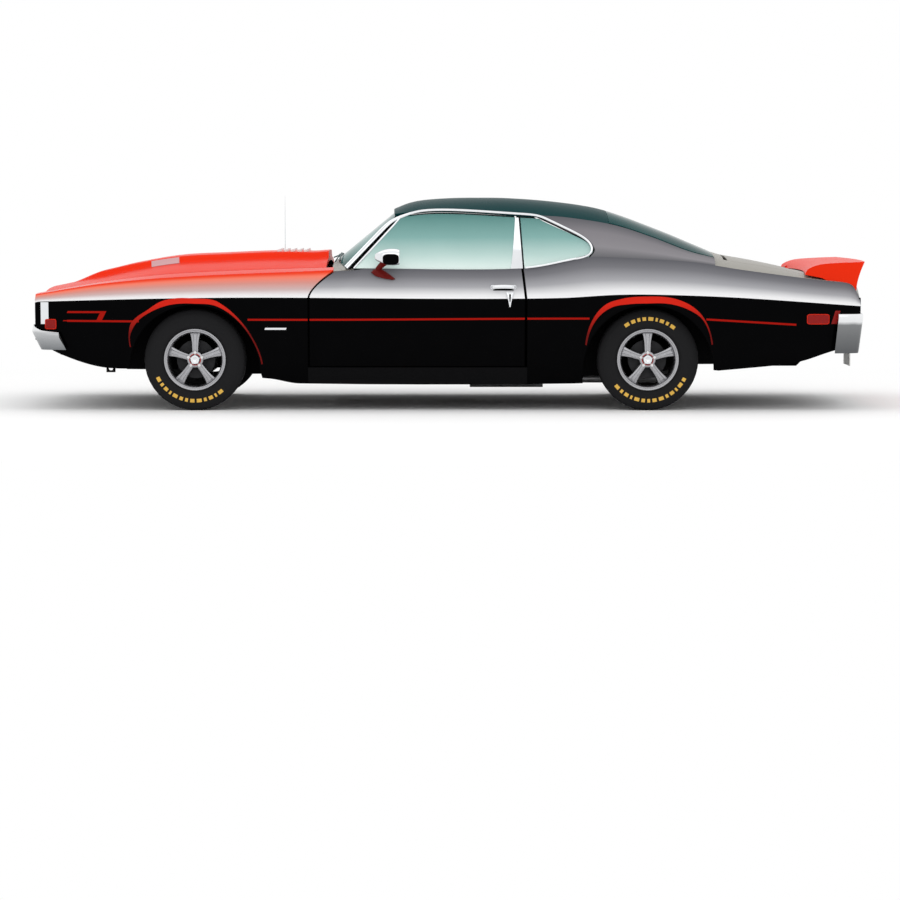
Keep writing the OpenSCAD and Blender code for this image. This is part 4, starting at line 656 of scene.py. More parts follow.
alloy = spunAlloy("spunAlloy", colours["alloy"], 0.2)
# near black for the tub behind the spokes: painted shade inside the rim
tubShade = roughMetal("tubShade", (0.012, 0.012, 0.013), (0.022, 0.022, 0.023), (0.5, 0.7), 0.0)
vinyl = grainedVinyl("grainedVinyl", colours["vinyl"])
softDash = grainedVinyl("softDash", (0.022, 0.022, 0.024), 600.0)
underCoat = roughMetal("underCoat", (0.003, 0.003, 0.0034), (0.007, 0.007, 0.0075), (0.6, 0.85), 0.0)
castIron = roughMetal("castIron", (0.030, 0.030, 0.032), (0.055, 0.055, 0.058), (0.5, 0.75), 0.4)
pressedTin = roughMetal("pressedTin", (0.30, 0.30, 0.31), (0.42, 0.42, 0.43), (0.35, 0.55), 0.9, 40.0, 0.1)
grilleBlack = roughMetal("grilleBlack", (0.012, 0.012, 0.013), (0.022, 0.022, 0.024), (0.35, 0.5), 0.0, 200.0, 0.05)
redLens = lensFinish("redLens", (0.20, 0.004, 0.003))
clearLens = lensFinish("clearLens", (0.75, 0.77, 0.78))
goldMark = flakePaint("goldMark", colours["gold"], (0.80, 0.52, 0.12), 0.45)
whiteMark = flakePaint("whiteMark", (0.70, 0.70, 0.67), (0.78, 0.78, 0.75), 0.4)
accentRed = flakePaint("accentRed", (0.55, 0.012, 0.005), (0.66, 0.03, 0.012))
mirrorRed = flakePaint("mirrorRed", (0.10, 0.006, 0.005), (0.14, 0.010, 0.008))
# pinkish grey of the painted highlight on the hood
hoodHighlight = flakePaint("hoodHighlight", (0.56, 0.33, 0.34), (0.62, 0.38, 0.39), 0.4)
print("finishes made:", len(bpy.data.materials))


# side panels: rows run from the lower edge (0) to the crease (1) and on to the shoulder (2)
sides = dict(flankRows=22, leanRows=14, noseColumns=26, archColumns=64, bayColumns=22, tailColumns=30, doorColumns=70,
             doorLow=0.21, cabinY=0.775, beltY=0.825, hingeShare=0.066, hingeColumns=6, hingeSkin=0.006,
             hingeZ=(0.37, 0.53), sleeveHalf=0.014)
rowPlace = np.concatenate([np.linspace(0, 1, sides["flankRows"]), np.linspace(1, 2, sides["leanRows"])[1:]])
creaseRow = sides["flankRows"] - 1
rowSkin = np.where(np.arange(len(rowPlace) - 1) < creaseRow, 0, 1)


def heights(x, low):
    crease, shoulder = lineZ("creaseZ", x), lineZ("shoulderZ", x)
    flank, lean = np.minimum(rowPlace, 1), np.maximum(rowPlace - 1, 0)
    return np.where(rowPlace <= 1, mix(low, crease, flank), mix(crease, shoulder, lean))


def sideGrid(xs, lean):
    x = xs[:, None] + 0 * rowPlace
    low = lowZ(x)
    q = x + lean(x, heights(x, low))
    z = heights(q, low)
    return xyz(q, sideY(q, z), z)


def archColumns(axle):
    return axle.x - body["archR"] * np.cos(np.linspace(0, np.pi, sides["archColumns"]))


def inward(grid, turnAt=1.6):
    w = np.clip((rowPlace - turnAt) / (2 - turnAt), 0, 1)
    return grid + xyz(0, -panel * mix(1, 0.7, w), -panel * 0.7 * w)


# front fenders, with the strip of their tops beside the hood
def makeFenders():
    back = at("doorFront") - body["gap"]
    legStart, legEnd = frontAxle.x - body["archR"], frontAxle.x + body["archR"]
    xs = np.concatenate([np.linspace(at("nose"), legStart, sides["noseColumns"])[:-1], archColumns(frontAxle),
                         np.linspace(legEnd, back, sides["bayColumns"])[1:]])

    def lean(x, z):
        return np.clip((x - legEnd) / (back - legEnd), 0, 1) * (doorFront(z) - at("doorFront"))

    side = sideGrid(xs, lean)
    s = np.linspace(0, 1, 9)[1:]
    q = side[:, -1:, 0]
    y = mix(lineY("shoulderY", q), lineY("shoulderY", q) * hoodEdgeShare + body["gap"], s)
    strip = xyz(q, y, hoodTop(q, y))
    inner = np.concatenate([inward(side), shifted(strip, dz=-panel)], 1)
    outer = np.concatenate([side, strip], 1)
    skin = np.concatenate([rowSkin, [1] * len(s)])
    rowV = np.concatenate([rowPlace - 1, 1 + 0 * s])
    Shape().shell(outer, inner, skin, 2, rowV, creaseRow, both=True).piece(
        "frontFenders", "shell", [sideBlack, fenderReflection, underCoat], "red_paint", ["fenders"], body["edge"])


def innerY(x, z):
    return mix(halfW * sides["cabinY"], halfW * sides["beltY"], beltShare(x, z))


# doors: the whole thickness behind the hinge, only the skin ahead of it
def makeDoors():
    n = sides["hingeColumns"]
    u = np.concatenate([np.linspace(0, sides["hingeShare"], n),
                        np.linspace(sides["hingeShare"] + 0.001, 1, sides["doorColumns"])])
    x0 = mix(at("doorFront"), at("doorBack"), u)[:, None] + 0 * rowPlace
    z = heights(x0, bodyH * sides["doorLow"])
    front = doorFront(z) + body["gap"] * 0.5 * (1 + beltShare(x0, z))
    x = mix(front, doorBack(z) - body["gap"], u[:, None])
    outer = xyz(x, sideY(x, z), z)
    inner = xyz(x - panel * 0.8 * np.maximum(u - 0.8, 0)[:, None] / 0.2, innerY(x, z), z)
    inner[:n] = shifted(outer[:n], dy=-sides["hingeSkin"])
    r, half, pinX = body["earR"], sides["sleeveHalf"], at("doorFront") + panel * 3
    for side, flip in doorSides:
        door = Shape().shell(outer * (1, flip, 1), inner * (1, flip, 1), rowSkin, 2, rowPlace - 1, creaseRow)
        pinY = flip * (lineY("creaseY", pinX) - panel * 1.5)
        for share in sides["hingeZ"]:  # hinge sleeves
            door.loft([[(pinX + r * np.cos(t), pinY + r * np.sin(t), bodyH * share + h) for t in circle(20)]
                       for h in (-half, half)], 2)
        door.piece(side + "Door", "door_" + side, [sideBlack, bodyReflection, vinyl], "black_paint", ["door_" + side],
                   body["edge"])


# quarter panels: the side behind the door, the sail up to the roof, the strip beside the deck and the panel before it
def makeQuarters():
    fore, tail = at("doorBack") + body["gap"], at("tail")
    armStart = rearAxle.x - body["archR"]
    jamb = np.array([fore, fore + panel, fore + panel * 2, fore + panel * 2 + body["seam"]])
    xs = np.concatenate([jamb, np.linspace(jamb[-1], armStart, sides["bayColumns"])[1:-1], archColumns(rearAxle),
                         np.linspace(rearAxle.x + body["archR"], tail, sides["tailColumns"])[1:]])

    def lean(x, z):
        return np.clip(1 - (x - fore) / (armStart - fore), 0, 1) * (doorBack(z) - at("doorBack"))

    outer = sideGrid(xs, lean)
    inner = inward(outer)
    inner[:3, :, 1] = innerY(outer[:3, :, 0], outer[:3, :, 2])
    inner[:3, :, 2] = outer[:3, :, 2]
    quarter = Shape().shell(outer, inner, rowSkin, 2, rowPlace - 1, creaseRow, both=True)
    s, u = np.linspace(0, 1, 30), np.linspace(0, 1, 46)[:, None]
    front = along(flow(s, lines["sailFront"]))
    sail = sailPoint(mix(front, at("sailBack") - body["seam"], u), s)
    sail[:, 0, 2] += body["seam"]
    sail[:, -1, 2] -= body["seam"] * 3
    sailIn = sail + xyz(0, -panel * mix(0.7, 0.5, s), -panel * mix(0.7, 0.85, s))
    quarter.shell(sail, sailIn, 3, 2, both=True)
    x = np.linspace(at("tulipBack") + body["seam"], tail, 40)[:, None]
    t = np.linspace(0, 1, 8)
    y = mix(lineY("shoulderY", x), lineY("shoulderY", x) * deckEdgeShare + body["gap"], t)
    strip = xyz(x, y, deckTop(x, y) + body["seam"])
    stripIn = strip + xyz(0, -panel * 0.7 * (t == 0), -panel * mix(0.7, 1, t))
    quarter.shell(strip, stripIn, 4, 2, both=True)
    x = np.linspace(at("sailBack"), at("tulipBack"), 6)[:, None]
    y = lineY("shoulderY", x) * np.linspace(-1, 1, 60)
    tulip = xyz(x, y, deckTop(x, y) + body["seam"])
    quarter.shell(tulip, shifted(tulip, dz=-panel * 0.8), 4, 2)
    quarter.piece("rearQuarters", "shell", [sideBlack, bodyReflection, underCoat, sailReflection, deckSand], "black_paint",
                  ["quarter_panels"], body["edge"])


# roof skin, and the pillars beside the windscreen
def makeRoof():
    s, u = np.linspace(-1, 1, 70), np.linspace(0, 1, 56)[:, None]
    headX = mix(at("header"), at("headerSide"), s**2)
    outer = roofPoint(mix(headX, at("backGlass"), u), s)
    k = abs(s) ** 4
    inner = outer + xyz(0, -np.sign(s) * panel * 0.5 * k, -panel * mix(1, 0.85, k))
    roof = Shape().shell(outer, inner, 0, 1)
    footX, headSide, thick = at("pillarFoot"), at("headerSide"), panel * 1.7
    footY = lineY("shoulderY", footX) * hoodEdgeShare + body["gap"] - body["seam"]
    footWide, headWide = panel * 2.2, panel * 6
    headY = panePoint(headSide, 1.0)[1] - body["glass"] - body["glassGap"]
    footZ = cowlZ(footX + footWide, (footY - thick) / footY) + body["seam"]
    headZ = lineZ("dripZ", headSide) - panel * 0.87
    rings = []
    for t in np.linspace(0, 1, 12):
        x, w, y, z = mix(footX, headSide, t), mix(footWide, headWide, t), mix(footY, headY, t), mix(footZ, headZ, t)
        rings.append([(x, y - thick, z), (x, y, z), (x + w, y, z), (x + w, y - thick, z)])
    roof.loft(rings, 2, both=True)
    roof.piece("roofSkin", "shell", [roofTeal, vinyl, plainBlack], "black_paint", ["roof"], body["edge"])


# two ears that hold a hinge pin, round below it and as high above it as tall says
def hingeEars(lid, x, y, z, tall):
    r, half = body["earR"], body["earHalf"]
    foot = [(r * np.cos(t), -r * np.sin(t)) for t in np.linspace(0, np.pi, 9)]
    outline = [(r, tall), *foot, (-r, tall)]
    for m in (-1, 1):
        lid.loft([[(x + px, m * y + side, z + pz) for px, pz in outline] for side in (-half, half)], 1)


# the highlight entries place the painted highlight patches on the hood
hoodTrim = dict(highlightX=(-1.875, -1.700), highlightY=(0.84, 1.04), highlightSlant=0.10, highlightLift=0.0015, highlightThick=0.0025,
                louvreX=(-1.075, -0.905), louvres=5, louvreY=0.42, louvreWide=0.55, louvreH=0.018, louvreTurn=-14,
                lipH=0.008, pinY=0.231, pinDrop=1.35)


# hood with its raised middle, thin pinkish-grey patches on the flanks of the middle that are painted highlight, and a
# raised rear lip
def makeHood():
    u, w = np.linspace(0, 1, 90), np.linspace(-1, 1, 121)
    x = mix(at("hoodFront"), at("hoodBack"), u)[:, None] + 0 * w
    y = lineY("shoulderY", x) * hoodEdgeShare * w
    x = x + halfL * 0.012 * (y / halfW) ** 2 * (1 - u[:, None])
    lip = hoodTrim["lipH"] * ease((u - 0.94) / 0.06)[:, None] * ease((1 - abs(w)) / 0.25)
    top = xyz(x, y, hoodTop(x, y) + lip)
    under = shifted(top, dz=-panel)
    turnDown = ease((u - 0.980) / 0.012)[:, None]  # the rear edge turns down to the cowl
    under[..., 2] -= (top[..., 2] - hoodFlat(x, y)) * turnDown
    hood = Shape().shell(top, under, 0, 1)
    low, high = hoodTrim["highlightY"]
    sx = np.linspace(*hoodTrim["highlightX"], 14)[:, None]
    sy = np.linspace(body["bulgeW"] * low, body["bulgeW"] * high, 6)
    lift = hoodTrim["highlightLift"]
    for m in (-1, 1):  # painted highlight: pale patches lying on the flanks of the raised middle
        highlightPatch = xyz(sx + hoodTrim["highlightSlant"] * (sy - sy[0]), sy * m, hoodTop(sx, sy) + lift)
        hood.shell(shifted(highlightPatch, dz=hoodTrim["highlightThick"]), highlightPatch, 2, 2)
    pinX = at("hoodBack") - panel * 3.5
    drop = panel * hoodTrim["pinDrop"]
    hingeEars(hood, pinX, hoodTrim["pinY"], lineZ("hoodZ", pinX) - drop, drop - panel * 0.3)
    hood.piece("hoodPanel", "hood", [hoodRed, underCoat, hoodHighlight], "red_paint", ["hood"], body["edge"])


# deck lid
def makeDeck():
    x, s = np.linspace(at("deckFront"), at("deckBack"), 40)[:, None], np.linspace(-1, 1, 70)
    y = lineY("shoulderY", x) * deckEdgeShare * s
    top = xyz(x, y, deckTop(x, y))
    deck = Shape().shell(top, shifted(top, dz=-panel * 0.8), 0, 1)
    pinX, pinY = at("deckFront") + panel * 3, halfW * 0.42
    pinZ = deckTop(pinX, pinY) - panel * 0.8 - body["earR"] - body["seam"] * 8
    hingeEars(deck, pinX, pinY, pinZ, body["earR"] + body["seam"] * 6)
    deck.piece("deckLid", "deck_lid", [deckSand, underCoat], "black_paint", ["deck_lid"], body["edge"])


# ducktail across the deck lid; rows are share of half the length and share of the height
duck = dict(top=[(0.860, 0.655), (0.876, 0.674), (0.898, 0.687), (0.940, 0.694), (1.0, 0.699)],
            back=[(0.998, 0.690), (0.990, 0.650), (0.983, 0.600), (0.979, 0.536)],
            foot=0.972, mid=0.9, bow=0.016, wide=0.985, sweep=0.02)


def makeDucktail():
    fore, aft, mid = along(duck["top"][0][0]), along(duck["foot"]), along(duck["mid"])
    wide = lineY("shoulderY", mid) * duck["wide"]
    inside = (lineY("shoulderY", aft) * deckEdgeShare - body["gap"]) / wide
    outside = inside + body["seam"] / wide
    rows = np.concatenate([np.linspace(-1, -outside, 12), np.linspace(-inside, inside, 50),
                           np.linspace(outside, 1, 12)])
    backRows = sorted((z, x) for x, z in duck["back"])
    rings = []
    for s in rows:
        y, bow, low = s * wide, -halfL * duck["bow"] * s**2, abs(s) <= inside + 1e-9
        lift = panel * 0.16 if low else body["gap"] * 1.5
        ring = [(fore + bow, deckTop(fore, y) + lift * 2)]
        for share in np.linspace(0.866, 1.0, 14):
            top = bodyH * flow(share, duck["top"])
            ring.append((along(share) + bow, max(top, deckTop(along(share), y) + lift * 3)))
        rise = ease((abs(s) - inside + duck["sweep"]) / duck["sweep"]) if low else 1.0
        foot = mix(bodyH * duck["back"][-1][1], deckTop(aft, y) + lift * 1.5, rise)
        for z in np.linspace(duck["back"][0][1], duck["back"][-1][1], 12):
            ring.append((along(flow(z, backRows)) + bow, max(bodyH * z, foot)))
        ring.append((aft + bow, min(foot, deckTop(aft, y) + lift)))
        ring.append((aft + bow, deckTop(aft, y) + lift))
        ring.append((mid + bow, deckTop(mid + bow, y) + lift))
        rings.append([(x, y, z) for x, z in ring])
    Shape().loft(rings).piece("ducktail", "deck_lid", [hoodRed], "red_paint", ["spoiler"], 0.004, 3)


# bumpers: rows of outer x, outer y, inner x, inner y; rings of how far out, and share of the height
# the face leans in below its ledge by lean, between two shares of the height; cut shortens the ends
bumpers = dict(
    front=dict(rows=[(-1.0, 0, -0.978, 0), (-0.9985, 0.42, -0.978, 0.42), (-0.994, 0.74, -0.984, 0.73),
                     (-0.988, 0.897, -0.9842, 0.894), (-0.968, 0.946, -0.966, 0.932), (-0.924, 0.966, -0.924, 0.952)],
               ring=[(0, 0.402), (0.35, 0.406), (0.80, 0.392), (1, 0.372), (0.97, 0.358), (0.55, 0.312),
                     (0.20, 0.286), (0, 0.290)],
               drop=0.036, lean=0.045, leanZ=(0.372, 0.286), cut=0.0),
    rear=dict(rows=[(0.990, 0, 0.980, 0), (0.989, 0.42, 0.980, 0.42), (0.985, 0.76, 0.978, 0.75),
                    (0.9785, 0.918, 0.977, 0.908), (0.955, 0.964, 0.9535, 0.952), (0.898, 0.986, 0.898, 0.974)],
              ring=[(0, 0.450), (0.5, 0.456), (0.97, 0.447), (1, 0.438), (0.97, 0.420), (0.80, 0.408),
                    (0.60, 0.350), (0.25, 0.285), (0, 0.270)],
              drop=0.0, lean=-0.022, leanZ=(0.440, 0.270), cut=0.055),
    plateY=0.151, plateTop=0.312)


def makeBumper(end, finish):
    b = bumpers[end]
    rows = np.array(b["rows"])
    rows = np.concatenate([(rows * (1, -1, 1, -1))[:0:-1], rows])
    place = np.concatenate([[0], np.cumsum(np.hypot(np.diff(along(rows[:, 0])), np.diff(rows[:, 1] * halfW)))])
    t = np.linspace(b["cut"], place[-1] - b["cut"], 150)
    fine = np.stack([np.interp(t, place, rows[:, k]) for k in range(4)], -1)
    kernel = np.array([1, 2, 3, 2, 1]) / 9
    for k in range(4):
        padded = np.pad(fine[:, k], 2, mode="reflect", reflect_type="odd")
        fine[:, k] = np.convolve(padded, kernel, mode="valid")
    wrap = np.clip((abs(fine[:, 1]) - 0.88) / 0.086, 0, 1)  # the top edge falls towards the ends
    high, low = b["leanZ"]
    foot = b["ring"][-1][1]
    sections = []
    for (outX, outY, inX, inY), w in zip(fine, wrap):
        section = []
        for a, z in b["ring"]:
            lean = b["lean"] * min(max((high - z) / (high - low), 0), 1)
            fall = b["drop"] * w * max((z - foot) / 0.115, 0)
            section.append((along(mix(inX, outX, a)) + lean, halfW * mix(inY, outY, a), bodyH * (z - fall)))
        sections.append(section)
    bumper = Shape().loft(sections)
    if end == "rear":  # the blank plate
        x, half = along(0.980) + panel * 0.2, bumpers["plateY"]
        plateLow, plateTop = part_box("rear_bumper")[0].z, bodyH * bumpers["plateTop"]
        plate = [(-half, plateLow), (half, plateLow), (half, plateTop), (-half, plateTop)]
        bumper.loft([[(x + d, y, z) for y, z in plate] for d in (-panel * 0.4, 0)], 2)
    bumper.piece(end + "Bumper", "shell", [finish, plainBlack, whiteMark], "bright", [end + "_bumper"], 0.007, 3)


# foot and head of the windscreen at shares across it
def screenEdges(s):
    footX = mix(at("glassBase"), at("glassBaseSide"), s**2)
    footY = s * halfW * cowl["footWide"]
    cowlY = lineY("shoulderY", footX) * hoodEdgeShare + body["gap"]
    head = roofPoint(mix(at("header"), at("headerSide"), s**2), s * cowl["headWide"])
    return xyz(footX, footY, cowlZ(footX, footY / cowlY)), head


# glass: windscreen, back window, rear side windows and the doors' own panes
def paneBack(s):
    t = np.asarray(s) * body["paneTop"]
    place = along(0.3)
    drop = panel / (lineZ("dripZ", place) - lineZ("shoulderZ", place))
    edge = np.minimum(flow(t, lines["sailFront"]), flow(np.minimum(t + drop, 1), lines["sailFront"]))
    return along(edge) - body["glassGap"]


def makeGlass():
    s, u = np.linspace(-1, 1, 50), np.linspace(0, 1, 24)[:, None, None]
    foot, head = screenEdges(s)
    screen = mix(shifted(foot, dz=body["seam"] * 7), shifted(head, dz=-panel * 1.2), u)
    glass = Shape().shell(screen, shifted(screen, dx=body["glass"]), 2, 2)
    backX = np.linspace(at("backGlass") + body["seam"], at("sailBack") - body["seam"], 40)[:, None]
    back = roofPoint(backX, s * 0.97)
    glass.shell(back, shifted(back, dz=-body["glass"]), 1, 1)
    t, v = np.linspace(0, 1, 20), np.linspace(0, 1, 30)[:, None]
    split = along(flow(t, lines["paneSplit"]))
    quarter = panePoint(mix(split + body["glassGap"], paneBack(t), v), t)
    glass.shell(quarter, shifted(quarter, dy=-body["glass"]), both=True)
    glass.piece("fixedPanes", "shell", [glassTint, backTint, screenTint], "clear_glass", ["fixed_glass"], 0.001, 1)
    pane = panePoint(mix(along(flow(t, lines["doorGlassFront"])), split - body["glassGap"], v), t)
    for side, flip in doorSides:
        Shape().shell(pane * (1, flip, 1), shifted(pane, dy=-body["glass"]) * (1, flip, 1)).piece(
            side + "DoorPane", "door_" + side, [glassTint], "clear_glass", ["door_glass_" + side], 0.001, 1)


makeFenders()
makeDoors()
makeQuarters()
makeRoof()
makeHood()
makeDeck()
makeDucktail()
makeBumper("front", frontChrome)
makeBumper("rear", rearChrome)
makeGlass()
print("body panels and glass made")


# red bands round the wheel arches, wide over the top and thin down the legs; rows of degrees and radius
bands = dict(proud=0.0022, sunk=0.001,
             frontOut=[(5, 0.421), (28, 0.410), (48, 0.417), (64, 0.434), (73.5, 0.446), (90, 0.440), (114.7, 0.466),
                       (128, 0.466), (142, 0.482), (150, 0.462), (160, 0.421)],
             frontIn=[(5, 0.411), (28, 0.401), (48, 0.405), (72, 0.416), (90, 0.408), (115, 0.431), (126, 0.443),
                      (139, 0.456), (152, 0.444), (160, 0.411)],
             rearOut=[(22, 0.425), (43.7, 0.465), (55.5, 0.473), (67.4, 0.468), (90.8, 0.452), (111, 0.468),
                      (122, 0.481), (133.6, 0.470), (158, 0.418)],
             rearIn=[(22, 0.415), (43, 0.452), (56.8, 0.443), (70.5, 0.428), (90, 0.410), (106, 0.422), (121, 0.447),
                     (135.7, 0.445), (158, 0.408)])


def makeArchBands():
    band = Shape()
    for axle, inner, outer in ((frontAxle, "frontIn", "frontOut"), (rearAxle, "rearIn", "rearOut")):
        a = np.linspace(bands[outer][0][0], bands[outer][-1][0], 110)
        r = mix(flow(a, bands[inner])[:, None], flow(a, bands[outer])[:, None], np.linspace(0, 1, 7))
        a = np.radians(a)[:, None]
        x, z = axle.x + r * np.cos(a), archZ + r * np.sin(a)
        skin = xyz(x, sideY(x, z), z)
        band.shell(shifted(skin, dy=bands["proud"]), shifted(skin, dy=-bands["sunk"]), both=True)
    band.piece("archBands", "shell", [bandRed], "red_paint", bevel=0.0008, segments=1)


# bright trim round the windows: pillar strip, drip rail, loop behind the rear side window
trim = dict(pillar=0.034, rail=0.015, loop=0.013, thin=0.010, corner=0.130, pillarRows=27, rounds=45, proud=0.004,
            strutLow=0.076, strutTop=0.022, strutGap=0.003)


def makeWindowTrim():
    t = np.linspace(0, 1, 30)
    footX, headX = at("pillarFoot"), at("headerSide")
    footY = lineY("shoulderY", footX) * hoodEdgeShare + body["gap"]
    headY = panePoint(headX, 1.0)[1] - body["glass"] - body["glassGap"]
    footZ, headZ = cowlZ(footX, 0.95) + 0.008, lineZ("dripZ", headX) - panel * 0.4
    pillar = xyz(mix(footX, headX, t) + 0.010, mix(footY, headY, t) + 0.002, mix(footZ, headZ, t))
    loopX = along(flow(np.linspace(1, 0, 40), lines["sailFront"]))
    rail = sailPoint(np.linspace(headX + trim["corner"], loopX[0], 70), 1.0)
    loop = sailPoint(loopX - 0.006, np.linspace(1, 0, 40))
    x = np.linspace(loopX[-1], along(lines["paneSplit"][0][1]) + 0.012, 30)[1:]
    belt = sailPoint(x, 0.0) + (0, 0, 0.004)
    path = np.concatenate([pillar[:trim["pillarRows"]], rail, loop[1:], belt])
    step = np.concatenate([[0], np.cumsum(np.linalg.norm(np.diff(path, axis=0), axis=1))])
    even = np.linspace(0, step[-1], 260)
    path = np.stack([np.interp(even, step, path[:, k]) for k in range(3)], -1)
    for k in range(trim["rounds"]):  # round the corners
        path[1:-1] = (path[:-2] + 2 * path[1:-1] + path[2:]) / 4
    path[:, 1] += trim["proud"]
    run = np.gradient(path, axis=0)
    across = xyz(-run[:, 2], 0, run[:, 0])
    top = step[trim["pillarRows"] - 1]
    wide = np.interp(even, [0, top * 0.8, top + 0.15, step[-1]],
                     [trim["pillar"], trim["pillar"] * 0.9, trim["rail"], trim["loop"]])
    bright = Shape().bar(path, across, wide, trim["thin"], both=True)
    bright.piece("windowTrim", "shell", [chrome], "bright")


# handles: a pull bar with a lock lever; the near door also carries the mirror
doorTrim = dict(handleX=(0.255, 0.404), handleZ=0.756, pull=0.026, leverX=0.369, leverZ=(0.636, 0.726),
                mirrorX=-0.380, mirrorL=0.150, mirrorZ=0.941, mirrorH=0.102, mirrorW=0.060, footZ=0.838,
                stemX=-0.440, stemZ=0.862, leafSteps=((-0.004, 1.0), (0.006, 1.0), (0.013, 0.93), (0.017, 0.75)),
                leaf=[(-0.480, 0.845), (-0.462, 0.866), (-0.425, 0.870), (-0.400, 0.858), (-0.360, 0.830),
                      (-0.330, 0.806), (-0.345, 0.800), (-0.400, 0.808), (-0.450, 0.822)])


def roundBox(place, half, power=4.0, n=18, m=28):
    v, u = np.linspace(-np.pi / 2, np.pi / 2, n)[1:-1, None], circle(m)
    girth = squared(np.cos(v), 2 / power)
    return xyz(place[0] + half[0] * squared(np.sin(v), 2 / power),
               place[1] + half[1] * girth * squared(np.cos(u), 2 / power),
               place[2] + half[2] * girth * squared(np.sin(u), 2 / power))


# mirror: a head on a stem, with a dark face, over a leaf-shaped foot
def addMirror(bright, turn):
    d = doorTrim
    headY = sideY(d["mirrorX"], d["footZ"]) + d["mirrorW"] * 0.5
    a, rings = circle(28), []
    for k in np.linspace(0, 1, 16):
        swell = (0.30 + 0.70 * np.sin(np.pi / 2 * min(k * 1.5, 1)) ** 0.8) * (1 - 0.10 * max(k - 0.85, 0) / 0.15)
        rings.append(xyz(d["mirrorX"] + d["mirrorL"] * (k - 0.5),
                         headY + d["mirrorW"] * 0.68 * swell * squared(np.cos(a), 0.72),
                         d["mirrorZ"] + d["mirrorH"] * 0.5 * swell * squared(np.sin(a), 0.72)) * turn)
    bright.loft(rings)
    facePlace = (d["mirrorX"] + 0.022, headY + d["mirrorW"] * 0.56, d["mirrorZ"] - 0.014)
    bright.loft(roundBox(facePlace, (0.050, 0.017, 0.033), 3.2) * turn, 2)
    k = np.linspace(0, 1, 8)[:, None]
    start = np.array((d["stemX"], sideY(d["stemX"], d["stemZ"]) + 0.006, d["stemZ"]))
    end = np.array((d["mirrorX"] - 0.012, headY, d["mirrorZ"] - d["mirrorH"] * 0.36))
    stem = mix(start, end, k) + (0, 0, 0.006) * np.sin(np.pi * k)
    bright.bar(stem * turn, (1, 0, 0), np.linspace(0.034, 0.050, 8), 0.018, 1)
    leaf = np.array(d["leaf"])
    centre = leaf.mean(0)
    footRings = []
    for out, size in d["leafSteps"]:
        q = centre + (leaf - centre) * size
        footRings.append(xyz(q[:, 0], sideY(q[:, 0], q[:, 1]) + out, q[:, 1]))
    bright.loft(np.array(footRings) * turn, 1)


def makeDoorTrim():
    d = doorTrim
    for side, flip in doorSides:
        bright = Shape()
        turn = np.array((1, flip, 1))
        x = np.linspace(*d["handleX"], 40)
        t = np.linspace(-1, 1, 40)
        y = sideY(x, d["handleZ"])
        pull = xyz(x, y + d["pull"] * (1 - t**6), d["handleZ"] + 0.004 * (1 - t**2))
        bright.bar(pull * turn, (0, 0, 1), 0.024 - 0.006 * t**4, 0.010)
        for end in (-0.86, 0.86):  # rosettes under the ends of the pull
            px = mix(*d["handleX"], (end + 1) / 2)
            rosettePlace = (px, sideY(px, d["handleZ"]) + 0.004, d["handleZ"])
            bright.loft(roundBox(rosettePlace, (0.015, 0.007, 0.014), 3.0, 10, 18) * turn)
        # painted shadow: a thin black plate under the pull, where its shade falls
        u = np.linspace(d["handleX"][0] + 0.012, d["handleX"][1] - 0.012, 20)[:, None]
        v = np.linspace(-0.020, 0.006, 5)
        handleShadow = xyz(u, sideY(u, d["handleZ"] + v), d["handleZ"] + v)
        bright.shell(shifted(handleShadow, dy=0.0012) * turn, shifted(handleShadow, dy=-0.002) * turn, 2, 2)
        z = np.linspace(*d["leverZ"], 16)
        lever = xyz(d["leverX"], sideY(d["leverX"], z) + 0.006, z)
        bright.bar(lever * turn, (1, 0, 0), 0.010 + 0.042 * ((z - z[0]) / (z[-1] - z[0])) ** 1.3, 0.011)
        bright.bar((lever[5:14] + (0, 0.0036, 0)) * turn, (1, 0, 0), 0.006 + 0.014 * np.linspace(0, 1, 9), 0.005, 2)
        # strut behind the pane
        s, w = np.linspace(0, 1, 24), np.linspace(0, 1, 5)[:, None]
        back = along(flow(s, lines["paneSplit"])) - trim["strutGap"]
        strut = panePoint(mix(back - mix(trim["strutLow"], trim["strutTop"], s**0.8), back, w), s)
        bright.shell(shifted(strut, dy=0.005) * turn, shifted(strut, dy=-0.002) * turn)
        edge = panePoint(along(flow(s, lines["doorGlassFront"])) + 0.004, s) + (0, 0.002, 0)
        bright.bar(edge * turn, (1, 0, 0), 0.012, 0.010)
        if side == "left":
            addMirror(bright, turn)
        bright.piece(side + "DoorTrim", "door_" + side, [chrome, mirrorRed, plainBlack], "bright",
                     ["door_trim_" + side], 0.002)


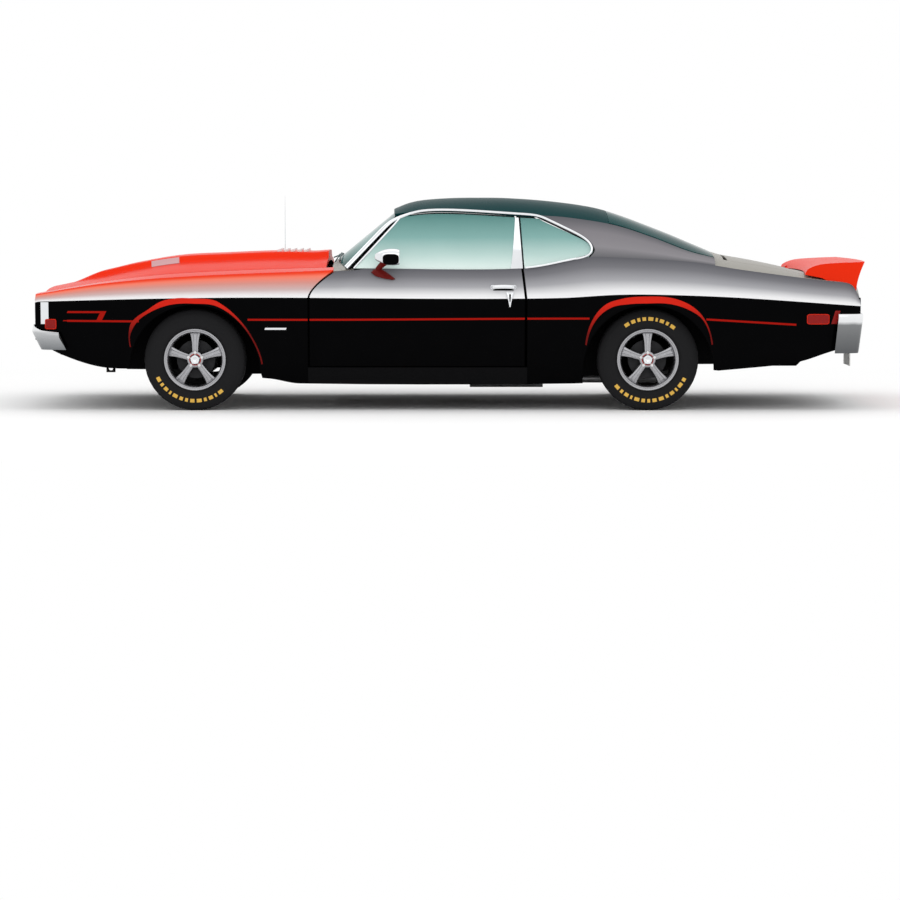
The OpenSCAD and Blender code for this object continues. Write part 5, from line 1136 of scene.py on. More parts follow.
# wheels: five crowned spokes in a deep rim, a capped hub and nuts; tyres with grooves and plain marks
# profiles are rows of radius and place along the axle; spoke rows run from the hub (0) to the rim (1)
wheels = dict(spokes=5, spokeR=(0.024, 0.1655), nutRing=0.043, nuts=5, nutR=0.0095, nutH=0.016, nutY=0.072,
              nutTurn=54, barrelR=0.170, treadSteps=168, crownR=0.3103, grooveY=(0.030, 0.068), grooveDepth=0.007,
              sipeDepth=0.005, frontMarks=[(205, 318)], rearMarks=[(50, 130), (218, 338)], markR=(0.240, 0.262),
              markSizes=(7, 4, 6, 3, 7, 5, 4, 6), markGap=3.2,
              spokeHalf=[(0, 0.021), (0.3, 0.0215), (0.6, 0.0250), (0.85, 0.0320), (1, 0.0400)],
              spokeFace=[(0, 0.066), (0.3, 0.064), (0.7, 0.060), (1, 0.056)],
              spokeLow=[(0, 0.028), (0.6, 0.026), (1, 0.026)],
              lip=[(0.161, 0.040), (0.170, 0.040), (0.170, 0.0953), (0.1885, 0.0953), (0.189, 0.0985),
                   (0.1875, 0.1003), (0.1835, 0.1003), (0.178, 0.097), (0.1745, 0.092), (0.1655, 0.084),
                   (0.162, 0.074)],
              tub=[(0.161, -0.1003), (0.189, -0.1003), (0.189, -0.0953), (0.170, -0.0953), (0.170, 0.040),
                   (0.161, 0.040)],
              hub=[(0.0155, 0.0300), (0.0500, 0.0300), (0.0500, 0.0600), (0.0490, 0.0655), (0.0400, 0.0680),
                   (0.0365, 0.0700), (0.0155, 0.0700)],
              redRing=[(0.0330, 0.0690), (0.0362, 0.0690), (0.0362, 0.0722), (0.0330, 0.0722)],
              cap=[(0.0005, 0.0660), (0.0325, 0.0660), (0.0325, 0.0740), (0.0300, 0.0850), (0.0260, 0.0905),
                   (0.0150, 0.0915), (0.0120, 0.0890), (0.0005, 0.0885)])


# a geometry tree: its inputs by kind, its nodes by kind, and its links, each written as "node.socket > node.socket"
def growthTree(name, inputs, kinds, links):
    tree = bpy.data.node_groups.new(name, "GeometryNodeTree")
    sockets = {}
    for key, kind in inputs.items():
        socket = tree.interface.new_socket(key, in_out="INPUT", socket_type="NodeSocket" + kind)
        sockets[key] = socket.identifier
    tree.interface.new_socket("Geometry", in_out="OUTPUT", socket_type="NodeSocketGeometry")
    made = {key: tree.nodes.new("GeometryNode" + kind) for key, kind in kinds.items()}
    made.update(given=tree.nodes.new("NodeGroupInput"), out=tree.nodes.new("NodeGroupOutput"))
    for link in links:
        (first, output), (second, socket) = (end.split(".") for end in link.split(" > "))
        tree.links.new(made[first].outputs[output], made[second].inputs[socket])
    return tree, sockets, made


# a ring of nuts
def nutTree():
    tree, sockets, made = growthTree(
        "nutRing",
        {"Count": "Int", "Ring Radius": "Float", "Nut Radius": "Float", "Nut Depth": "Float", "Turn": "Vector",
         "Place": "Vector", "Finish": "Material"},
        dict(ring="MeshCircle", nut="MeshCylinder", copies="InstanceOnPoints", move="Transform",
             real="RealizeInstances", paint="SetMaterial"),
        ["given.Count > ring.Vertices", "given.Ring Radius > ring.Radius", "given.Nut Radius > nut.Radius",
         "given.Nut Depth > nut.Depth", "ring.Mesh > copies.Points", "nut.Mesh > copies.Instance",
         "copies.Instances > move.Geometry", "given.Place > move.Translation", "given.Turn > move.Rotation",
         "move.Geometry > real.Geometry", "real.Geometry > paint.Geometry", "given.Finish > paint.Material",
         "paint.Geometry > out.Geometry"])
    made["nut"].inputs["Vertices"].default_value = 6
    return tree, sockets


# a row of bars
def barTree():
    tree, sockets, made = growthTree(
        "barRow",
        {"Count": "Int", "Start": "Vector", "Step": "Vector", "Size": "Vector", "Turn": "Vector",
         "Finish": "Material"},
        dict(row="MeshLine", bar="MeshCube", copies="InstanceOnPoints", real="RealizeInstances", paint="SetMaterial"),
        ["given.Count > row.Count", "given.Start > row.Start Location", "given.Step > row.Offset",
         "given.Size > bar.Size", "given.Turn > copies.Rotation", "row.Mesh > copies.Points",
         "bar.Mesh > copies.Instance", "copies.Instances > real.Geometry", "real.Geometry > paint.Geometry",
         "given.Finish > paint.Material", "paint.Geometry > out.Geometry"])
    return tree, sockets


nutGrowth, barGrowth = nutTree(), barTree()


# runs a tree for each set of values and joins the results into one plain mesh
def grown(name, growth, sets, rides, bevel):
    tree, sockets = growth
    points, faces, finish = [], [], None
    for values in sets:
        holder = linked(name + "Seed", bpy.data.meshes.new(name + "Seed"))
        grow = holder.modifiers.new("grow", "NODES")
        grow.node_group = tree
        for key, value in values.items():
            grow[sockets[key]] = value
        mesh = evaluated(holder)
        base = len(points)
        points += [tuple(v.co) for v in mesh.vertices]
        faces += [tuple(i + base for i in p.vertices) for p in mesh.polygons]
        finish = mesh.materials[0]
        bpy.data.objects.remove(holder)
    joined = bpy.data.meshes.new(name)
    joined.from_pydata(points, [], faces)
    joined.materials.append(finish)
    made = linked(name, joined)
    soften(made, bevel, 2, 30)
    return settle(made, rides)


def sidewallY(r):
    share = [(0.42, 0), (0.425, 0.15), (0.475, 0.25), (0.5, 0.47), (0.485, 0.72), (0.435, 0.92), (0.39, 0.985)]
    rows = [(mix(wheels["barrelR"], tyreR, b), (tyreHigh.y - tyreLow.y) * a) for a, b in share]
    return flow(r, rows)


def treadDents(n, profile):
    deep = np.zeros((n, len(profile)))
    step = np.arange(n)
    shoulder = (profile[:, 0] > tyreR - 0.004) & (abs(profile[:, 1]) > wheels["grooveY"][1] + 0.004)
    deep[np.ix_(step % 4 == 0, shoulder)] = wheels["sipeDepth"]
    middle = (profile[:, 0] > tyreR - 0.002) & (abs(profile[:, 1]) < wheels["grooveY"][0] - 0.004)
    deep[np.ix_(step % 6 == 0, middle)] = wheels["sipeDepth"] * 0.7
    return deep


def makeWheel(name, corner, marks):
    w = wheels
    centre = np.array(middle("wheel_" + corner))
    flip = np.sign(centre[1])
    place = lambda p: np.asarray(p, float) * (1, flip, 1) + centre
    turned = lambda key, n, skin: rim.turn(centre, [(r, y * flip) for r, y in w[key]], n, skin)
    rim = Shape()
    turned("lip", 120, 0)
    # the tub behind the spokes carries the painted shade
    turned("tub", 96, 1)
    for k in range(w["spokes"]):
        a = 2 * np.pi * k / w["spokes"]
        out, across = np.array((np.sin(a), 0, np.cos(a))), np.array((np.cos(a), 0, -np.sin(a)))
        sections = []
        for t in np.linspace(0, 1, 18):
            half, face, low = (flow(t, w[key]) for key in ("spokeHalf", "spokeFace", "spokeLow"))
            side = [(1, low), (1, face - 0.014), (0.80, face - 0.004), (0.42, face - 0.0005), (0.30, face - 0.004)]
            ring = [(-half * c, h) for c, h in side] + [(half * c, h) for c, h in side[::-1]]
            sections.append([place(out * mix(*w["spokeR"], t) + across * c + np.array((0, h, 0))) for c, h in ring])
        rim.loft(sections, 0)
    turned("hub", 60, 0)
    turned("redRing", 60, 3)
    turned("cap", 60, 2)
    rim.piece(name + "Wheel", "wheel_" + corner, [alloy, tubShade, chrome, accentRed], "alloy",
              ["wheel_" + corner], 0.0015)
    radii = np.concatenate([np.linspace(w["barrelR"] + 0.0003, 0.3005, 20), [0.3045, 0.3080]])
    half = np.array([(r, sidewallY(r)) for r in radii])
    for row, rib in ((6, 0.0012), (15, 0.0010)):  # ribs round the sidewall
        half[row, 1] += rib
    crown = [(0.3092, 0.0835), (0.3098, 0.0730)]
    deep = w["crownR"] - w["grooveDepth"]
    for g in w["grooveY"][::-1]:
        crown += [(w["crownR"], g + 0.0045), (deep, g + 0.0040), (deep, g - 0.0040), (w["crownR"] + 0.0003, g - 0.0045)]
    crown += [(tyreR, 0.012)]
    outer = np.concatenate([half, crown])
    loop = np.concatenate([outer, (outer * (1, -1))[::-1]])
    tyre = Shape().turn(centre, loop, w["treadSteps"], 0, treadDents)
    r = np.linspace(*w["markR"], 4)
    for first, last in marks:
        a, k = first, 0
        while a + w["markSizes"][k % 8] < last:
            size = w["markSizes"][k % 8]
            t = np.radians(np.linspace(a, a + size, 8))[:, None]
            grid = xyz(r * np.cos(t), sidewallY(r), r * np.sin(t))
            tyre.shell(place(shifted(grid, dy=0.0012)), place(shifted(grid, dy=-0.002)), 1, 1)
            a, k = a + size + w["markGap"], k + 1
    tyre.piece(name + "Tyre", "wheel_" + corner, [rubber, goldMark], "rubber", ["tyre_" + corner], 0, angle=32)
    nuts = {"Count": w["nuts"], "Ring Radius": w["nutRing"], "Nut Radius": w["nutR"], "Nut Depth": w["nutH"],
            "Turn": (math.pi / 2, math.radians(w["nutTurn"]), 0.0),
            "Place": tuple(centre + (0, flip * w["nutY"], 0)), "Finish": chrome}
    grown(name + "Nuts", nutGrowth, [nuts], "wheel_" + corner, 0.001)


# louvres on the hood
def makeLouvres():
    x0, x1 = hoodTrim["louvreX"]
    n = hoodTrim["louvres"]
    step = (x1 - x0) / (n - 1)
    sets = []
    for m in (-1, 1):
        y = m * body["bulgeW"] * hoodTrim["louvreY"]
        z0, z1 = (float(hoodTop(x, y)) for x in (x0, x1))
        sets.append({"Count": n, "Start": (x0, y, z0 + 0.003), "Step": (step, 0.0, (z1 - z0) / (n - 1)),
                     "Size": (step * 0.55, body["bulgeW"] * hoodTrim["louvreWide"], hoodTrim["louvreH"]),
                     "Turn": (0.0, math.radians(hoodTrim["louvreTurn"]), 0.0), "Finish": hoodRed})
    grown("hoodLouvres", barGrowth, sets, "hood", body["edge"])


# lamps on the flanks and at both ends, and a plain dash on each fender
lamps = dict(bezelX=(-2.5035, -2.455), bezelZ=(0.530, 0.664), wrapX=(2.336, 2.368), wrapZ=(0.531, 0.612),
             wrapSlant=0.30, dashX=(-1.130, -1.000), dashZ=0.497, dashH=0.012, tailWide=0.399,
             markers=((along(-0.944), 0.5295, 0.066, 0.058), (along(0.872), 0.5603, 0.134, 0.058)),
             lensSteps=(1.0, 0.9, 0.7, 0.45, 0.15), lensDeep=0.012, bars=15, barMargin=0.024)


def flankPatch(x0, x1, z0, z1, slant=0.0, n=10):
    u, v = np.linspace(0, 1, n)[:, None], np.linspace(0, 1, 8)
    z = mix(z0, z1, v) + 0 * u
    x = mix(x0, x1, u) + slant * (z - z0)
    return xyz(x, sideY(x, z), z)


def makeLampTrim():
    bright = Shape()
    nose = flankPatch(*lamps["bezelX"], *lamps["bezelZ"])
    bright.shell(shifted(nose, dy=0.003), shifted(nose, dy=-0.002), both=True)
    dash = flankPatch(*lamps["dashX"], lamps["dashZ"], lamps["dashZ"] + lamps["dashH"], 0.4, 20)
    bright.shell(shifted(dash, dy=0.004), shifted(dash, dy=-0.001), both=True)
    a = circle(44)
    for x, z, wide, tall in lamps["markers"]:
        px, pz = x + wide / 2 * squared(np.cos(a), 0.25), z + tall / 2 * squared(np.sin(a), 0.25)
        ring = xyz(px, sideY(px, pz) + 0.004, pz)
        bright.bar(ring, (0, 1, 0), 0.008, 0.006, 3, 8, ring=True, both=True)
    wrap = flankPatch(*lamps["wrapX"], *lamps["wrapZ"], lamps["wrapSlant"])
    bright.shell(shifted(wrap, dy=0.003), shifted(wrap, dy=-0.001), 1, 1, both=True)
    low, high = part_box("head_lamps")
    lampR, lampZ = (high.z - low.z) / 2, (low.z + high.z) / 2
    frameLow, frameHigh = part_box("grille")
    frameY = frameHigh.y
    a = circle(48)
    for k in (1, 3):
        y = frameY - lampR * k - panel * 0.9 * (k + 1) / 2
        for m in (-1, 1):
            r = lampR + 0.002
            ring = xyz(frameLow.x - 0.001, m * y + r * np.cos(a), lampZ + r * np.sin(a))
            bright.bar(ring, (1, 0, 0), 0.014, 0.010, 0, 10, ring=True)
            lens = []
            for q in lamps["lensSteps"]:
                x, r = low.x + 0.002 - lamps["lensDeep"] * math.sqrt(max(1 - q * q, 0)), lampR * 0.95 * q
                lens.append(xyz(x, m * y + r * np.cos(a), lampZ + r * np.sin(a)))
            bright.loft(lens, 2)
    t = np.linspace(-1, 1, 60)
    for z in (frameLow.z + 0.006, frameHigh.z - 0.006):
        edge = xyz(frameLow.x - 0.002, t * frameY * 0.99, z)
        bright.bar(edge, (0, 0, 1), 0.016, 0.010)
    tailLow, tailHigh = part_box("tail_lamps")
    a = circle(60)
    hy, hz = lamps["tailWide"] / 2, (tailHigh.z - tailLow.z) / 2
    cy, cz = tailHigh.y - hy, (tailLow.z + tailHigh.z) / 2
    for m in (-1, 1):
        ring = xyz(tailHigh.x + 0.002, m * (cy + hy * squared(np.cos(a), 0.2)), cz + hz * squared(np.sin(a), 0.2))
        bright.bar(ring, (1, 0, 0), 0.010, 0.008, 0, 8, ring=True)
    bright.piece("lampTrim", "shell", [chrome, redLens, clearLens, accentRed], "bright")
    # fine bars across the grille, between the lamps
    wide = 2 * (frameY - lampR * 4 - panel * 2.7)
    zs = np.linspace(frameLow.z + lamps["barMargin"], frameHigh.z - lamps["barMargin"], lamps["bars"])
    bars = {"Count": lamps["bars"], "Start": (frameLow.x + 0.012, 0.0, float(zs[0])),
            "Step": (0.0, 0.0, float(zs[1] - zs[0])), "Size": (0.010, wide, 0.003), "Turn": (0.0, 0.0, 0.0),
            "Finish": grilleBlack}
    grown("grilleBars", barGrowth, [bars], "shell", 0.0008)


# aerial on the far fender and the two wipers
outside = dict(mastX=-1.086, mastY=0.800, mastTop=1.312, mastR=0.0022, mastTaper=2.6,
               collar=((0.016, -0.006), (0.016, 0.004), (0.009, 0.012), (0.004, 0.022)),
               wiperS=((0.10, 0.66), (-0.62, -0.06)), wiperRise=(0.03, 0.10))


def makeOutside():
    o = outside
    x, y = o["mastX"], o["mastY"]
    foot = float(hoodTop(x, y))
    z = np.linspace(foot - 0.004, o["mastTop"], 14)
    thick = o["mastR"] * mix(o["mastTaper"], 1, (z - z[0]) / (z[-1] - z[0]))
    mast = Shape().bar(xyz(x, y, z), (1, 0, 0), thick, thick)
    mast.loft([[(x + r * np.cos(t), y + r * np.sin(t), foot + h) for t in circle(20)] for r, h in o["collar"]])
    mast.piece("aerialMast", "shell", [chrome], "bright")
    wiper = Shape()
    for first, last in o["wiperS"]:
        s = np.linspace(first, last, 24)
        base, head = screenEdges(s)
        u = mix(*o["wiperRise"], (s - first) / (last - first))[:, None]
        blade = mix(base, head, u) + (-0.010, 0, 0.008)
        wiper.bar(blade, (-0.7, 0, 0.7), 0.014, 0.006)
        start, end = blade[0] + (-0.030, 0, -0.006), blade[14] + (-0.006, 0, 0.006)
        wiper.bar(mix(start, end, np.linspace(0, 1, 12)[:, None]), (-0.7, 0, 0.7), 0.008, 0.010)
    wiper.piece("wipers", "shell", [backTint], "grille_plastic")


# dark shields inside the wheel openings
# rows of both ends in x, both ends in z, and y
shields = dict(sheets=[(-2.02, -1.70, 0.23, 0.44, 0.42), (-1.43, -1.12, 0.20, 0.42, 0.40),
                       (0.70, 1.16, 0.20, 0.42, 0.58), (1.27, 1.66, 0.27, 0.44, 0.58),
                       (0.425, 0.78, 0.36, 0.80, 0.70)], thick=0.004, bow=0.02)


def makeShields():
    dark = Shape()
    for x0, x1, z0, z1, y in shields["sheets"]:
        u, v = np.linspace(0, 1, 12)[:, None], np.linspace(0, 1, 8)
        bow = shields["bow"] * np.sin(np.pi * u)
        sheet = xyz(mix(x0, x1, u), y + bow, mix(z0, z1, v))
        dark.shell(sheet, shifted(sheet, dy=-shields["thick"]), both=True)
    dark.piece("splashShields", "shell", [underCoat], "under_paint", bevel=0.001, segments=1)


makeShields()
makeArchBands()
makeWindowTrim()
makeDoorTrim()
for end in ("front", "rear"):
    for side in ("left", "right"):
        makeWheel(end + side.title(), end + "_" + side, wheels[end + "Marks"])
makeLouvres()
makeLampTrim()
makeOutside()
print("trim, wheels and lamps made")


# cabin: padded seats, steering wheel, gauges; a pad is x, z and its half sizes in x, y and z
seats = dict(y=0.399, cushion=(0.190, 0.376, 0.232, 0.232, 0.066), cushionLean=2.0,
             back=(0.545, 0.690, 0.054, 0.222, 0.255), lean=25.5, rail=(0.20, 0.285, 0.21, 0.20, 0.045),
             strapY=0.236, strapX=(0.36, 0.56), strapZ=(0.34, 0.62), voxel=0.013, pressure=4.0, frames=20, cap=0.012,
             channels=7, groove=0.0075, fill=0.75)
bench = dict(cushion=(0.925, 0.545, 0.105, 0.545, 0.050), cushionLean=4.0,
             back=(1.095, 0.690, 0.045, 0.545, 0.135), lean=15.0, channels=15)
wheel = dict(place=(-0.448875, -0.399324, 0.730938), axis=(0.927184, 0.0, 0.374607), hub=0.228, rim=0.262, r=0.166,
             grip=0.0118, fingers=30, spokes=3, holes=(0.07, 0.095, 0.118), holeWide=0.013)
gauges = dict(x=-0.449, z=0.770, lean=14.0, ys=(-0.505, -0.293), r=0.050, small=(-0.60, -0.205, -0.135),
              smallR=0.027, ticks=9, tickFrom=-120, tickStep=30, boxY=0.42)


# blows a closed pad up with cloth, keeps each point within the cap
def swell(made):
    voxel = made.modifiers.new("voxel", "REMESH")
    voxel.mode, voxel.voxel_size = "VOXEL", seats["voxel"]
    mesh = evaluated(made)
    made.modifiers.clear()
    made.data = mesh
    rest = np.array([v.co for v in mesh.vertices])
    cloth = made.modifiers.new("pad", "CLOTH")
    cloth.settings.use_pressure, cloth.settings.uniform_pressure_force = True, seats["pressure"]
    cloth.settings.effector_weights.gravity = 0
    cloth.settings.quality = 4
    scene = bpy.context.scene
    for frameNumber in range(1, seats["frames"] + 1):
        scene.frame_set(frameNumber)
    graph = bpy.context.evaluated_depsgraph_get()
    blown = np.array([v.co for v in made.evaluated_get(graph).data.vertices])
    made.modifiers.clear()
    scene.frame_set(1)
    move = blown - rest
    far = np.linalg.norm(move, axis=1)[:, None]
    share = np.minimum(1, seats["cap"] / np.maximum(far, 1e-9))
    made.data.vertices.foreach_set("co", (rest + move * share).ravel())


# one pad in its own place, leaned, with sewn channels pressed in after the swelling; lies says that its face is up
def padMesh(name, shape, lean, channels, lies):
    x, z, hx, hy, hz = shape
    v, u = np.linspace(-np.pi / 2, np.pi / 2, 26)[1:-1, None], circle(44)
    girth = squared(np.cos(v), 2 / 6)
    block = Shape().loft(xyz(hx * girth * squared(np.cos(u), 2 / 6), hy * squared(np.sin(v), 2 / 7),
                             hz * girth * squared(np.sin(u), 2 / 6)))
    mesh = bpy.data.meshes.new(name)
    mesh.from_pydata(np.concatenate(block.points).tolist(), [], block.faces)
    made = linked(name, mesh)
    swell(made)
    finer = made.modifiers.new("finer", "SUBSURF")
    finer.levels = finer.render_levels = 1
    mesh = evaluated(made)
    p = np.array([q.co for q in mesh.vertices])
    face, thick, run = (p[:, 2], hz, abs(p[:, 0] / hx)) if lies else (-p[:, 0], hx, abs(p[:, 2] / hz))
    wide, front = abs(p[:, 1] / hy), face > thick * 0.5
    side = p[:, 1] / hy * (channels / 2) * 0.84
    inside = np.clip((0.86 - wide) / 0.05, 0, 1) * np.clip((0.84 - run) / 0.06, 0, 1) * front
    dip = np.exp(-((side - np.round(side)) / 0.10) ** 2) * inside
    edge = np.exp(-((np.maximum(wide / 0.87, run / 0.86) - 1) / 0.022) ** 2) * front
    push = seats["groove"] * np.maximum(dip, edge)
    if lies:
        p[:, 2] = np.maximum(p[:, 2] - push, -hz)  # flat where it rests
    else:
        p[:, 0] += push
    a = math.radians(lean)
    placed = xyz(p[:, 0] * math.cos(a) + p[:, 2] * math.sin(a) + x, p[:, 1],
                 -p[:, 0] * math.sin(a) + p[:, 2] * math.cos(a) + z)
    faces = [tuple(f.vertices) for f in mesh.polygons]
    bpy.data.objects.remove(made)
    bpy.data.meshes.remove(mesh)
    return placed, faces


def placePad(name, points, faces, y, flip, stands):
    turned = [f[::-1] for f in faces] if flip < 0 else faces
    pad = Shape().add(points * (1, flip, 1) + (0, y * flip, 0), turned, [0] * len(faces))
    made = pad.piece(name, "shell", [vinyl], "dash_plastic", stands, angle=70)


def makeSeats():
    cushion = padMesh("seatTrial", seats["cushion"], seats["cushionLean"], seats["channels"], True)
    back = padMesh("backTrial", seats["back"], seats["lean"], seats["channels"], False)
    for side, flip in (("Left", -1), ("Right", 1)):
        placePad("seatCushion" + side, *cushion, seats["y"], flip, ["front_seats"])
        placePad("seatBack" + side, *back, seats["y"], flip, ["front_seats"])
    rail = Shape()
    x, z, *half = seats["rail"]
    for m in (-1, 1):
        rail.loft(roundBox((x, m * seats["y"], z), half, 8.0))
        for inner in (-1, 1):
            y = m * seats["y"] + inner * seats["strapY"]
            path = xyz(np.linspace(*seats["strapX"], 14), y, np.linspace(*seats["strapZ"], 14))
            rail.bar(path, (0, 1, 0), 0.010, 0.036, 1)
    rail.piece("seatRails", "shell", [grilleBlack, chrome], "dash_plastic", ["front_seats"], 0.003, 2)
    cushion = padMesh("benchTrial", bench["cushion"], bench["cushionLean"], bench["channels"], True)
    back = padMesh("benchBackTrial", bench["back"], bench["lean"], bench["channels"], False)
    placePad("benchCushion", *cushion, 0.0, 1, ["rear_seat"])
    placePad("benchBack", *back, 0.0, 1, ["rear_seat"])
    print("seats done")


def makeSteeringWheel():
    w = wheel
    place, axis = np.array(w["place"]), np.array(w["axis"])
    up, across = np.array((-axis[2], 0, axis[0])), np.array((0.0, 1.0, 0.0))
    centre = place + axis * w["rim"]
    a = circle(180)[:, None]
    rim = centre + w["r"] * (np.cos(a) * up + np.sin(a) * across)
    shape = Shape()
    grip = 2 * w["grip"] * (1 - 0.06 * abs(np.cos(a[:, 0] * w["fingers"] / 2)))
    shape.bar(rim, np.broadcast_to(axis, rim.shape), grip, grip, k=14, ring=True)
    for t in np.pi + circle(w["spokes"]):
        ray = math.cos(t) * up + math.sin(t) * across
        r = np.linspace(0.028, w["r"] - 0.002, 12)[:, None]
        path = centre - axis * 0.006 * np.sin(np.pi * r / w["r"]) - axis * 0.004 + ray * r
        shape.bar(path, np.cross(axis, ray), np.linspace(0.034, 0.022, 12), 0.005, 1)
        for h in w["holes"]:
            hole = centre + ray * h - axis * 0.006
            ends = np.stack([hole - axis * 0.0036, hole + axis * 0.0030])
            shape.bar(ends, np.cross(axis, ray), w["holeWide"], w["holeWide"], 0)
    t = np.linspace(0, 1, 6)
    for low, high, r0, r1, skin in ((w["hub"] + 0.004, w["rim"] - 0.004, 0.036, 0.030, 0),
                                    (w["rim"] - 0.008, w["rim"] + 0.008, 0.040, 0.034, 0),
                                    (w["rim"] + 0.006, w["rim"] + 0.010, 0.024, 0.020, 1)):
        thick = 2 * mix(r0, r1, t**2)
        shape.bar(place + axis * mix(low, high, t)[:, None], across, thick, thick, skin, 40)
    shape.piece("steeringRim", "steering_wheel", [softDash, alloy], "dash_plastic", ["steering_wheel"], 0.001, 2)


def makeGauges():
    g = gauges
    dial = Shape()
    a = math.radians(g["lean"])
    out, up = np.array((math.cos(a), 0, -math.sin(a))), np.array((math.sin(a), 0, math.cos(a)))
    across = np.array((0, 1.0, 0))
    turned = lambda degrees: math.cos(math.radians(degrees)) * up + math.sin(math.radians(degrees)) * across
    for y, r in [*((q, g["r"]) for q in g["ys"]), *((q, g["smallR"]) for q in g["small"])]:
        centre = np.array((g["x"], y, g["z"]))
        t = circle(48)[:, None]
        ring = centre + r * (np.cos(t) * up + np.sin(t) * across) + out * 0.004
        dial.bar(ring, np.broadcast_to(out, ring.shape), 0.010, 0.005, 1, 8, ring=True)
        dial.bar(np.stack([centre - out * 0.006, centre + out * 0.004]), across, 2 * r, 2 * r, 0, 40)
        for k in range(g["ticks"]):
            ray = turned(g["tickFrom"] + g["tickStep"] * k)
            tick = np.stack([centre + out * 0.0046 + ray * r * s for s in (0.72, 0.90)])
            dial.bar(tick, np.cross(out, ray), 0.0022, 0.0010, 2, 4)
        ray = turned(-70 + 400 * abs(y))  # each hand stands at its own angle
        hand = np.stack([centre + out * 0.0056 + ray * r * s for s in (-0.12, 0.30, 0.76)])
        dial.bar(hand, np.cross(out, ray), np.array((0.004, 0.003, 0.001)), 0.0012, 3, 6)
    dial.loft(roundBox((g["x"] - 0.001, g["boxY"], g["z"]), (0.010, 0.15, 0.050), 8.0), 4)
    knob = np.stack([np.array((g["x"] + 0.012, g["boxY"] + s * 0.02, g["z"] + 0.032)) for s in (-1, 0, 1)])
    dial.bar(knob, (0, 0, 1), 0.010, 0.006, 1)
    dial.piece("dashGauges", "shell", [grilleBlack, chrome, whiteMark, accentRed, softDash], "dash_plastic",
               bevel=0.0006, segments=1)


# engine: rocker covers with ribs, cleaner lid, wires; a cover is y, z and its half sizes in y and z
engine = dict(x=(-1.700, -1.072), cover=(0.236, 0.712, 0.056, 0.034), lean=52.0, ribs=6, ribSpread=0.042,
              cleanerX=-1.386, cleanerR=0.187, plugs=4, plugY=0.285, plugZ=0.640)


def makeEngine():
    e = engine
    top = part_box("engine")[1].z
    dress = Shape()
    y, z, hy, hz = e["cover"]
    fore, aft = e["x"]
    a = math.radians(e["lean"])
    leaned = lambda x, v, w: xyz(x, y + v * math.cos(a) + w * math.sin(a), z - v * math.sin(a) + w * math.cos(a))
    t = np.linspace(0, 1, 20)[:, None]
    for flip in (-1, 1):
        rings = roundBox(((fore + aft) / 2, 0, 0), ((aft - fore) / 2 - 0.02, hy, hz), 7.0)
        dress.loft(leaned(*np.moveaxis(rings, -1, 0)) * (1, flip, 1), 0)
        x = np.linspace(fore + 0.06, aft - 0.06, 8)
        for off in np.linspace(-e["ribSpread"], e["ribSpread"], e["ribs"]):
            dress.bar(leaned(x, off, hz) * (1, flip, 1), (0, 1, 0), 0.006, 0.008, 1)
        for x in np.linspace(fore + 0.09, aft - 0.09, e["plugs"]):
            plug, bend = np.array((x, e["plugY"], e["plugZ"])), np.array((x + 0.03, 0.330, z + 0.06))
            end = np.array((aft - 0.02, 0.06, top - 0.06))
            wire = (1 - t) ** 2 * plug + 2 * t * (1 - t) * bend + t**2 * end
            dress.bar(wire * (1, flip, 1), (0, 0, 1), 0.009, 0.009, 2)
    r, t = e["cleanerR"], np.linspace(0, 1, 8)
    for low, high, r0, r1 in ((top - 0.012, top + 0.004, r, r - 0.010), (top + 0.003, top + 0.012, 0.016, 0.010)):
        path = xyz(e["cleanerX"], 0, mix(low, high, t))
        wide = 2 * mix(r0, r1, t**3)
        dress.bar(path, (1, 0, 0), wide, wide, 3, 64)
    dress.piece("engineDress", "shell", [accentRed, alloy, rubber, chrome], "casting", bevel=0.002, segments=2)
    print("engine done")


makeSeats()
makeSteeringWheel()
makeGauges()
makeEngine()


# CAD nodes that stay as they are, and the finish that each gets
kept = {underCoat: ["floor_pan", "aprons", "front_arms", "leaf_springs"],
        plainBlack: ["tail_panel", "front_valance", "fuel_tank"], deckSand: ["cowl"],
        castIron: ["engine", "driveline", "rear_axle", "knuckle_left", "knuckle_right"],
        pressedTin: ["radiator", "exhaust"], grilleBlack: ["grille"], clearLens: ["head_lamps"],
        redLens: ["tail_lamps", "side_markers"], softDash: ["dashboard", "steering_column"]}
for finish, names in kept.items():
    for name in names:
        nodes[name].data.materials.clear()
        nodes[name].data.materials.append(finish)


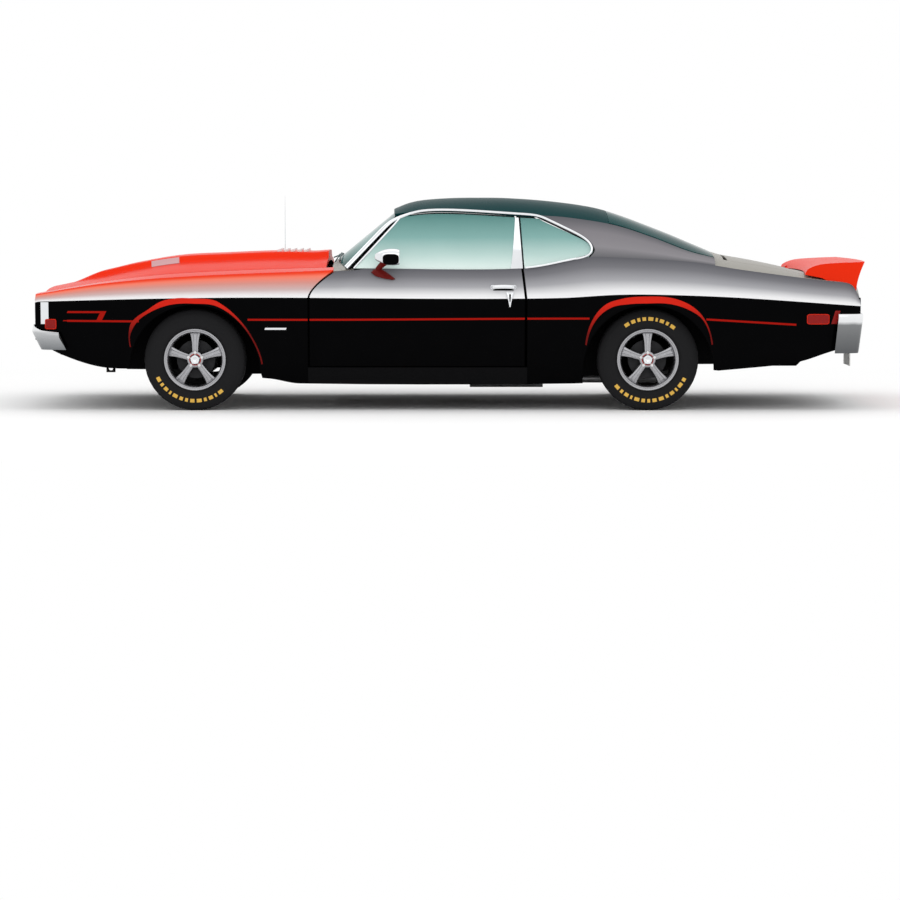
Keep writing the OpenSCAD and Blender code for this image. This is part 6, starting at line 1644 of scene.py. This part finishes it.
# floor, sky and lamps
def makeStage():
    mesh = bpy.data.meshes.new("studioFloor")
    mesh.from_pydata([(-60, -40, 0), (60, -40, 0), (60, 80, 0), (-60, 80, 0)], [], [(0, 1, 2, 3)])
    floor = linked("studioFloor", mesh)
    paint = Finish("floorWhite", (0.96, 0.96, 0.96), 0.9, specular=0.0)
    paint.speckle(0.6, (0.955, 0.955, 0.955), (0.975, 0.975, 0.975))
    mesh.materials.append(paint.material)
    # far from the object the floor turns into the white backdrop
    tree = paint.tree
    glow, blend = tree.nodes.new("ShaderNodeEmission"), tree.nodes.new("ShaderNodeMixShader")
    x, y = paint.axis("x") / 1.5, paint.axis("y")
    far = (x * x + y * y).math("SQRT").over(view["floorFade"], view["floorFade"] * 0.4)
    tree.links.new(far.socket, blend.inputs[0])
    tree.links.new(paint.shader.outputs[0], blend.inputs[1])
    tree.links.new(glow.outputs[0], blend.inputs[2])
    tree.links.new(blend.outputs[0], tree.nodes["Material Output"].inputs["Surface"])
    world = bpy.data.worlds.new("studioSky")
    bpy.context.scene.world = world
    world.use_nodes = True
    tree = world.node_tree
    back = tree.nodes["Background"]
    back.inputs["Color"].default_value = (1, 1, 1, 1)
    rays = tree.nodes.new("ShaderNodeLightPath")
    seen = rays.outputs["Is Camera Ray"]
    for kind in ("Is Glossy Ray", "Is Transmission Ray"):
        either = tree.nodes.new("ShaderNodeMath")
        either.operation = "MAXIMUM"
        tree.links.new(seen, either.inputs[0])
        tree.links.new(rays.outputs[kind], either.inputs[1])
        seen = either.outputs[0]
    level = tree.nodes.new("ShaderNodeMapRange")
    tree.links.new(seen, level.inputs["Value"])
    level.inputs["To Min"].default_value = view["skyLight"]
    tree.links.new(level.outputs[0], back.inputs["Strength"])
    for name, watts, size, place, aim in (
            ("topSoftbox", view["topWatts"], view["topSize"], (0, -1.0, 5.5), (0, 0, 0)),
            ("sideSoftbox", view["sideWatts"], view["sideSize"], (0, -8.0, 3.6), (0, 0, 0.4))):
        lamp = bpy.data.lights.new(name, "AREA")
        lamp.shape, lamp.size, lamp.size_y, lamp.energy = "RECTANGLE", size[0], size[1], watts
        holder = linked(name, lamp)
        holder.location = place
        away = np.array(place, float) - aim
        holder.rotation_euler = (math.atan2(math.hypot(away[0], away[1]), away[2]), 0, math.atan2(away[0], -away[1]))


def makeCamera():
    lens = bpy.data.cameras.new("sideCamera")
    lens.sensor_width = view["sensor"]
    lens.lens = view["sensor"] / 2 / math.tan(math.radians(view["fieldDeg"] / 2))
    lens.clip_end = 300.0
    camera = linked("sideCamera", lens)
    camera.location = (view["sideways"], -halfW - view["distance"], view["eyeHeight"])
    camera.rotation_euler = (math.radians(90 - view["tiltDeg"]), 0, 0)
    bpy.context.scene.camera = camera


makeStage()
makeCamera()
bpy.context.scene.view_settings.view_transform = "Standard"
print("scene ready")
